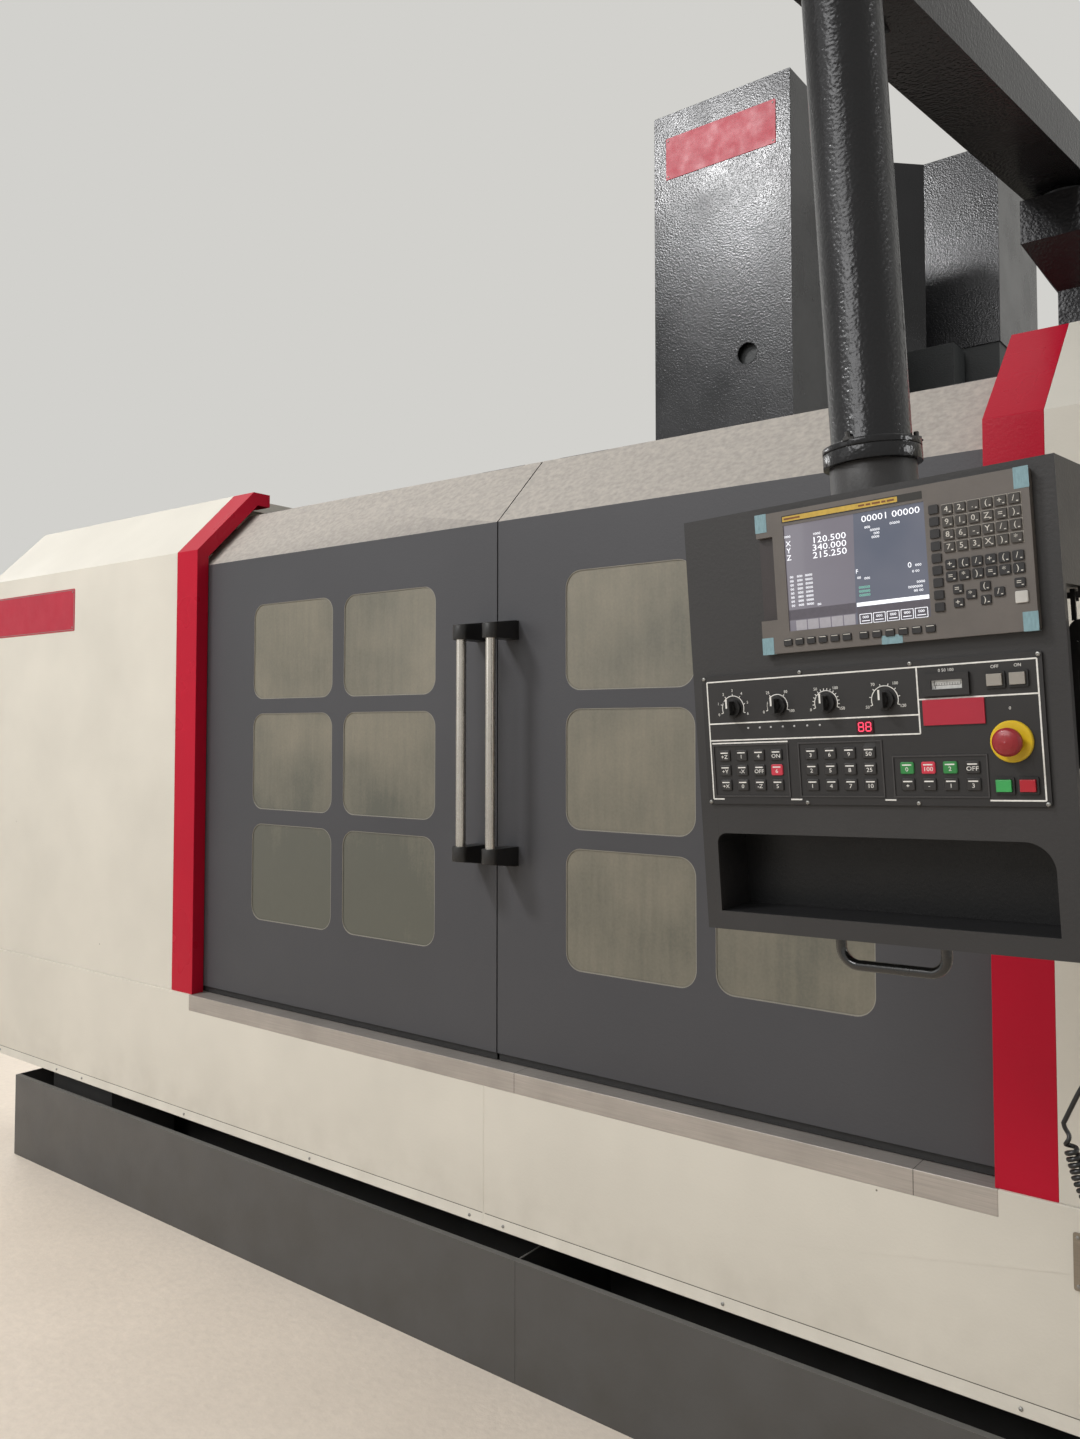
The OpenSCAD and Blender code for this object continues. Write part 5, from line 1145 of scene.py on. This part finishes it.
    def band(self):
        """Yellow band over the screen in a black border, with a black end and brown bars."""
        front = self.FRONT
        with piece("display_band_border", "ink_black") as bm:
            slab(bm, DISPLAY, (44, 191, 212, 10.5), 0.8, front - 0.3, front + 0.2, steps=2)
        with piece("display_band", "ink_yellow", slot="unit_plastic") as bm:
            slab(bm, DISPLAY, (45.5, 192.6, 176, 7.4), 0.6, front - 0.5, front - 0.1, steps=2)
        with piece("display_band_marks", "ink_brown") as bm:
            for x, w in ((48, 26), (165, 9), (176, 7), (185, 12), (199, 6), (207, 10)):
                bar(bm, DISPLAY, (x, 196.3), (x + w, 196.3), 2.6, front - 0.65, front - 0.4)

    def readout(self):
        """Generic axis readout, status lines and soft-key outlines on the lit display."""
        front = self.FRONT + 2
        top, back = front - 0.12, front + 0.1
        with piece("display_readout", "lit_white") as bm:
            for text, x, z, height, stretch in self.LARGE:
                figures(bm, DISPLAY, text, x, z, top, height, stretch)
            for x, z, text in self.SMALL:
                figures(bm, DISPLAY, text, x, z, top, 3.4, 1.2)
            bar(bm, DISPLAY, (152, 58.5), (256, 58.5), 5.4, top, back)
            for x in range(155, 236, 20):
                rim(bm, DISPLAY, (x, 31, 18, 14), 0.8, (0.8, 0.6), top, back, 2)
                figures(bm, DISPLAY, "000", x + 9, 40, top, 3.6, 1.2)
                bar(bm, DISPLAY, (x + 3, 35), (x + 15, 35), 1.0, top, back)
        with piece("display_low_field", "lit_dark") as bm:
            for field in ((46, 47, 105, 15), (152, 31, 104.5, 24)):
                slab(bm, DISPLAY, field, 0, front - 0.04, back)
        with piece("display_soft_keys", "lit_grey") as bm:
            for i in range(5):
                slab(bm, DISPLAY, (56 + i * 18.8, 31.5, 17, 14.5), 0.8, front - 0.08, back,
                     steps=2)
        with piece("display_status", "lit_green") as bm:
            for z in (82, 76.5, 71):
                figures(bm, DISPLAY, "00000", 165, z, top, 3.6, 1.3)

    def tapes(self):
        """Pieces of transport tape over the unit's corners and round its lower edge."""
        front = self.FRONT
        with piece("display_tape", "tape_blue") as bm:
            for x, z, w, h in self.TAPES:
                slab(bm, DISPLAY, (x, z, w, h), 0.6, front - 0.35, front + 0.1, steps=2)
                if z < 0:
                    slab(bm, DISPLAY, (x, z, w, 0.5), 0.2, front, -4, steps=2)


class MACHINE_OT_panel(bpy.types.Operator):
    """Finishes the operator panel: printed frame, dials, lamps, keys, meter and its screws"""
    bl_idname = "machine.panel"
    bl_label = "Operator panel"

    FRONT = -4.0
    PRINT = FRONT - 0.15     # front of what is printed on the panel
    LINES = ((27, 384, 521, 384), (521, 384, 521, 202.5), (27, 384, 27, 202.5),
             (363.5, 384, 363.5, 293), (27, 319, 363.5, 319), (27, 293, 363.5, 293),
             (363.5, 339.4, 521, 339.4), (27, 202.5, 46, 202.5), (161, 202.5, 179, 202.5),
             (307, 202.5, 323, 202.5), (451, 202.5, 521, 202.5), (30, 288.5, 161, 288.5))
    # Knobs from the left: name, x, and the ticks, radius and numbers of their dials
    KNOB_Z = 342
    DIALS = (("mode", 71.5, 7, 19, "0 1 2 3 4 5 6"), ("rapid", 148, 4, 17, "0 25 50 100"),
             ("feed", 227, 16, 18, "0 50 100 150"), ("spindle", 316, 8, 19.5, "50 70 100 120"))
    # Blocks of keys: x of the first column, rows, and the marks from below, column by column
    BLOCKS = ((52, 3, "+X +Y +Z 0 -X 1 -Z OFF 4 5 6 ON"),
              (198.5, 3, "1 2 3 4 5 6 7 8 9 10 25 50"), (342, 2, "+ 0 - 100 1 2 3 OFF"))
    # Lit keys by their block, column and row
    LIT = {(0, 3, 1): "red", (2, 0, 1): "green", (2, 1, 1): "red", (2, 2, 1): "green"}
    FIRST_Z, PITCH_X, PITCH_Z = 224, 29.8, 22.6   # of the keys in every block
    # Strokes of a seven-segment figure that shows all of them
    EIGHT = ((-3, 6, 3, 6), (-3, 0, 3, 0), (-3, -6, 3, -6), (-3.6, 5.4, -3.6, 0.6),
             (3.6, 5.4, 3.6, 0.6), (-3.6, -0.6, -3.6, -5.4), (3.6, -0.6, 3.6, -5.4))

    def execute(self, context):
        dress("polyester_foil_black", "operator_panel", 0.0004)
        dress("abs_black", "knob_mode knob_rapid knob_feed knob_spindle", 0.0006)
        dress("abs_stop_red", "stop_button", 0.0006)
        dress("acrylic_red", "hold_button", 0.0005)
        dress("acrylic_green", "start_button", 0.0005)
        dress("acrylic_light", "power_off_button power_on_button", 0.0005)
        self.printed()
        self.keys()
        self.plates()
        self.meter()
        self.lamps()
        self.collars()
        return {"FINISHED"}

    def printed(self):
        """Lines round the panel and its fields, dials, and a white pointer on each knob."""
        front, back = self.PRINT, self.PRINT + 0.3
        with piece("panel_lines", "ink_white") as bm:
            strokes(bm, PENDANT, 2.0, front, back, self.LINES)
            for x, z, text in ((404, 377, "0 50 100"), (468, 377, "OFF"), (497, 377, "ON"),
                               (484, 322, "0")):
                figures(bm, PENDANT, text, x, z, front, 4.2)
        with piece("panel_dials", "ink_white") as bm:
            for _, x, ticks, radius, numbers in self.DIALS:
                centre, numbers = (x, self.KNOB_Z), numbers.split()
                arc_band(bm, PENDANT, centre, radius, 1.2, -20, 200, front, back)
                for i in range(ticks):
                    tick(bm, PENDANT, centre, radius - 0.5, radius + 3.4,
                         200 - 220 * i / (ticks - 1), 1.1, front, back)
                spots = arc_points(centre, radius + 8.0, 200, -20, len(numbers) - 1)
                for number, spot in zip(numbers, spots):
                    figures(bm, PENDANT, number, *spot, front, 4.2)
        for name, x, *_ in self.DIALS:
            with piece(f"knob_{name}_mark", "ink_white", "knob_" + name) as bm:
                slab(bm, PENDANT, (x - 1.3, self.KNOB_Z, 2.6, 14), 0, self.FRONT - 19.6,
                     self.FRONT - 19.0)

    def keys(self):
        """Key caps with two rows of marks, two green and two red ones lit, and their frames."""
        front = self.FRONT
        keys = [(self.LIT.get((b, i // rows, i % rows), "grey"), mark,
                 x + i // rows * self.PITCH_X, self.FIRST_Z + i % rows * self.PITCH_Z)
                for b, (x, rows, marks) in enumerate(self.BLOCKS)
                for i, mark in enumerate(marks.split())]
        for kind in ("grey", "green", "red"):
            with piece("panel_keys_" + kind, "acrylic_key_" + kind, slot="black_plastic") as bm:
                for x, z in [(x, z) for shade, _, x, z in keys if shade == kind]:
                    cap = grown((x - 9.25, z - 8, 18.5, 16), 0.2)
                    slab(bm, PENDANT, cap, 2, front - 2.6, front, 0.9, 2)
        with piece("panel_key_marks", "ink_white") as bm:
            for _, mark, x, z in keys:
                figures(bm, PENDANT, mark, x, z - 2, front - 2.7, 5.8, 1.15)
                bar(bm, PENDANT, (x - 6.5, z + 4.2), (x + 6.5, z + 4.2), 1.7, front - 2.75,
                    front - 2.5)
        with piece("panel_key_frames", "abs_frame_black", slot="black_plastic") as bm:
            for x, rows, _ in self.BLOCKS:
                rim(bm, PENDANT, (x - 21, 206, 130.4, 12.4 + rows * self.PITCH_Z), 2, (0, 0),
                    front - 1.4, front)

    def plates(self):
        """The panel's screws and its bare plate."""
        front = self.FRONT
        with piece("panel_screws", "zinc_plated_steel", slot="stainless") as bm:
            screw_grid(bm, PENDANT, (22, 188, 355, 523), front, (389.3, 198.2), 6)
        with piece("panel_plate", "enamel_plate_red", slot="trim_red") as bm:
            slab(bm, PENDANT, (369.6, 303.6, 82.8, 34.8), 1, front - 2.4, front, 0.4, 2)

    def meter(self):
        """Load meter: pale scale with a faint glow, which is painted light, ticks and a needle,
        under its frame.
        """
        front = self.FRONT
        # Painted light: the scale card glows faintly, though no lamp lights it
        with piece("meter_scale", "card_white") as bm:
            slab(bm, PENDANT, (384, 352, 42, 12), 0, front - 1.0, front)
        with piece("meter_marks", "ink_black") as bm:
            ticks = [(387 + i * 3.6, 360 if i % 5 else 362) for i in range(11)]
            strokes(bm, PENDANT, 0.5, front - 1.15, front - 0.9,
                    [(x, 357, x, end) for x, end in ticks])
            bar(bm, PENDANT, (387, 357), (423, 357), 0.6, front - 1.15, front - 0.9)
            bar(bm, PENDANT, (389, 353), (388, 363), 0.7, front - 1.6, front - 1.2)

    def lamps(self):
        """The row of small lamps, and two lit figures in their window."""
        front = self.FRONT
        with piece("panel_lamps", "lamp_white") as bm:
            for x in (96, 116, 135, 155, 174, 195, 215):
                lathe(bm, PENDANT, (x, front, 310.8), FORWARD, [(0, -0.2), (1.5, -0.2),
                                                                (1.5, 0.5), (0, 1.1)], 12)
        with piece("panel_digits_window", "acrylic_dark_red", slot="black_plastic") as bm:
            slab(bm, PENDANT, (271.8, 295.8, 25.4, 19.4), 1, front - 2.2, front, 0.4, 2)
        with piece("panel_digits", "lit_red") as bm:
            for x in (279.2, 290.2):
                strokes(bm, PENDANT @ Matrix.Translation((x, 0, 305.5)), 1.3, front - 2.35,
                        front - 2.05, self.EIGHT)

    def collars(self):
        """The emergency stop's yellow collar, and the frames of the four square buttons."""
        front = self.FRONT
        with piece("stop_collar", "abs_yellow", slot="button_light") as bm:
            lathe(bm, PENDANT, (484, front, 279), FORWARD, [
                (12, 0), (27.3, 0), (27.3, 2.6), (25.8, 4.2), (22, 4.6), (12, 4.6)], 48,
                  closed=True)
        with piece("button_bezels", "abs_black", slot="black_plastic") as bm:
            for x, z in ((455, 349), (484, 349), (458, 211), (488, 211)):
                rim(bm, PENDANT, (x, z, 26, 22), 2.6, (2, 1), front - 3, front, 2)


class MACHINE_OT_handwheel(bpy.types.Operator):
    """Finishes the handwheel: its case, dial and selector marks"""
    bl_idname = "machine.handwheel"
    bl_label = "Handwheel"

    def execute(self, context):
        dress("abs_black", "handwheel_case", 0.0012)
        dress("abs_dial", "handwheel_dial", 0.0005)
        with piece("dial_ticks", "ink_white", "handwheel_dial") as bm:
            for i in range(100):
                tick(bm, PENDANT, (582, 280), 26.0 if i % 10 else 24.4, 27.4, 3.6 * i, 0.5,
                     73.2, 74.0)
        with piece("handwheel_marks", "ink_white") as bm:
            for x in (562, 602):
                for degrees in (30, 60, 90, 120, 150):
                    tick(bm, PENDANT, (x, 396), 14.0, 17.0, degrees, 0.7, 79.8, 80.2)
                bar(bm, PENDANT, (x, 397), (x, 406), 1.6, 67.8, 68.2)
        return {"FINISHED"}


OPERATORS = (MACHINE_OT_stage, MACHINE_OT_cord, MACHINE_OT_enclosure, MACHINE_OT_doors,
             MACHINE_OT_tanks, MACHINE_OT_hoods, MACHINE_OT_inside, MACHINE_OT_arm,
             MACHINE_OT_pendant, MACHINE_OT_display, MACHINE_OT_panel, MACHINE_OT_handwheel)
SETTINGS = {"machine_enclosure": EnclosureSettings, "machine_machine": MachineSettings,
            "machine_pendant": PendantSettings, "machine_cord": CordSettings,
            "machine_stage": StageSettings}


class MACHINE_PT_pieces(bpy.types.Panel):
    """Lists the groups of pieces with their sizes and colours"""
    bl_idname = "MACHINE_PT_pieces"
    bl_label = "Machining center"
    bl_space_type = "VIEW_3D"
    bl_region_type = "UI"
    bl_category = "Machine"

    def draw(self, context):
        for operator in OPERATORS:
            self.layout.operator(operator.bl_idname)
        for name, group in SETTINGS.items():
            for key in group.__annotations__:
                self.layout.prop(getattr(context.scene, name), key)


def register():
    for group in (*SETTINGS.values(), *OPERATORS, MACHINE_PT_pieces):
        bpy.utils.register_class(group)
    for name, group in SETTINGS.items():
        setattr(bpy.types.Scene, name, PointerProperty(type=group))


def unregister():
    for name in SETTINGS:
        delattr(bpy.types.Scene, name)
    for group in (MACHINE_PT_pieces, *OPERATORS[::-1], *list(SETTINGS.values())[::-1]):
        bpy.utils.unregister_class(group)


def main():
    register()
    for operator in OPERATORS:
        group, name = operator.bl_idname.split(".")
        getattr(getattr(bpy.ops, group), name)()


if __name__ == "__main__":
    main()
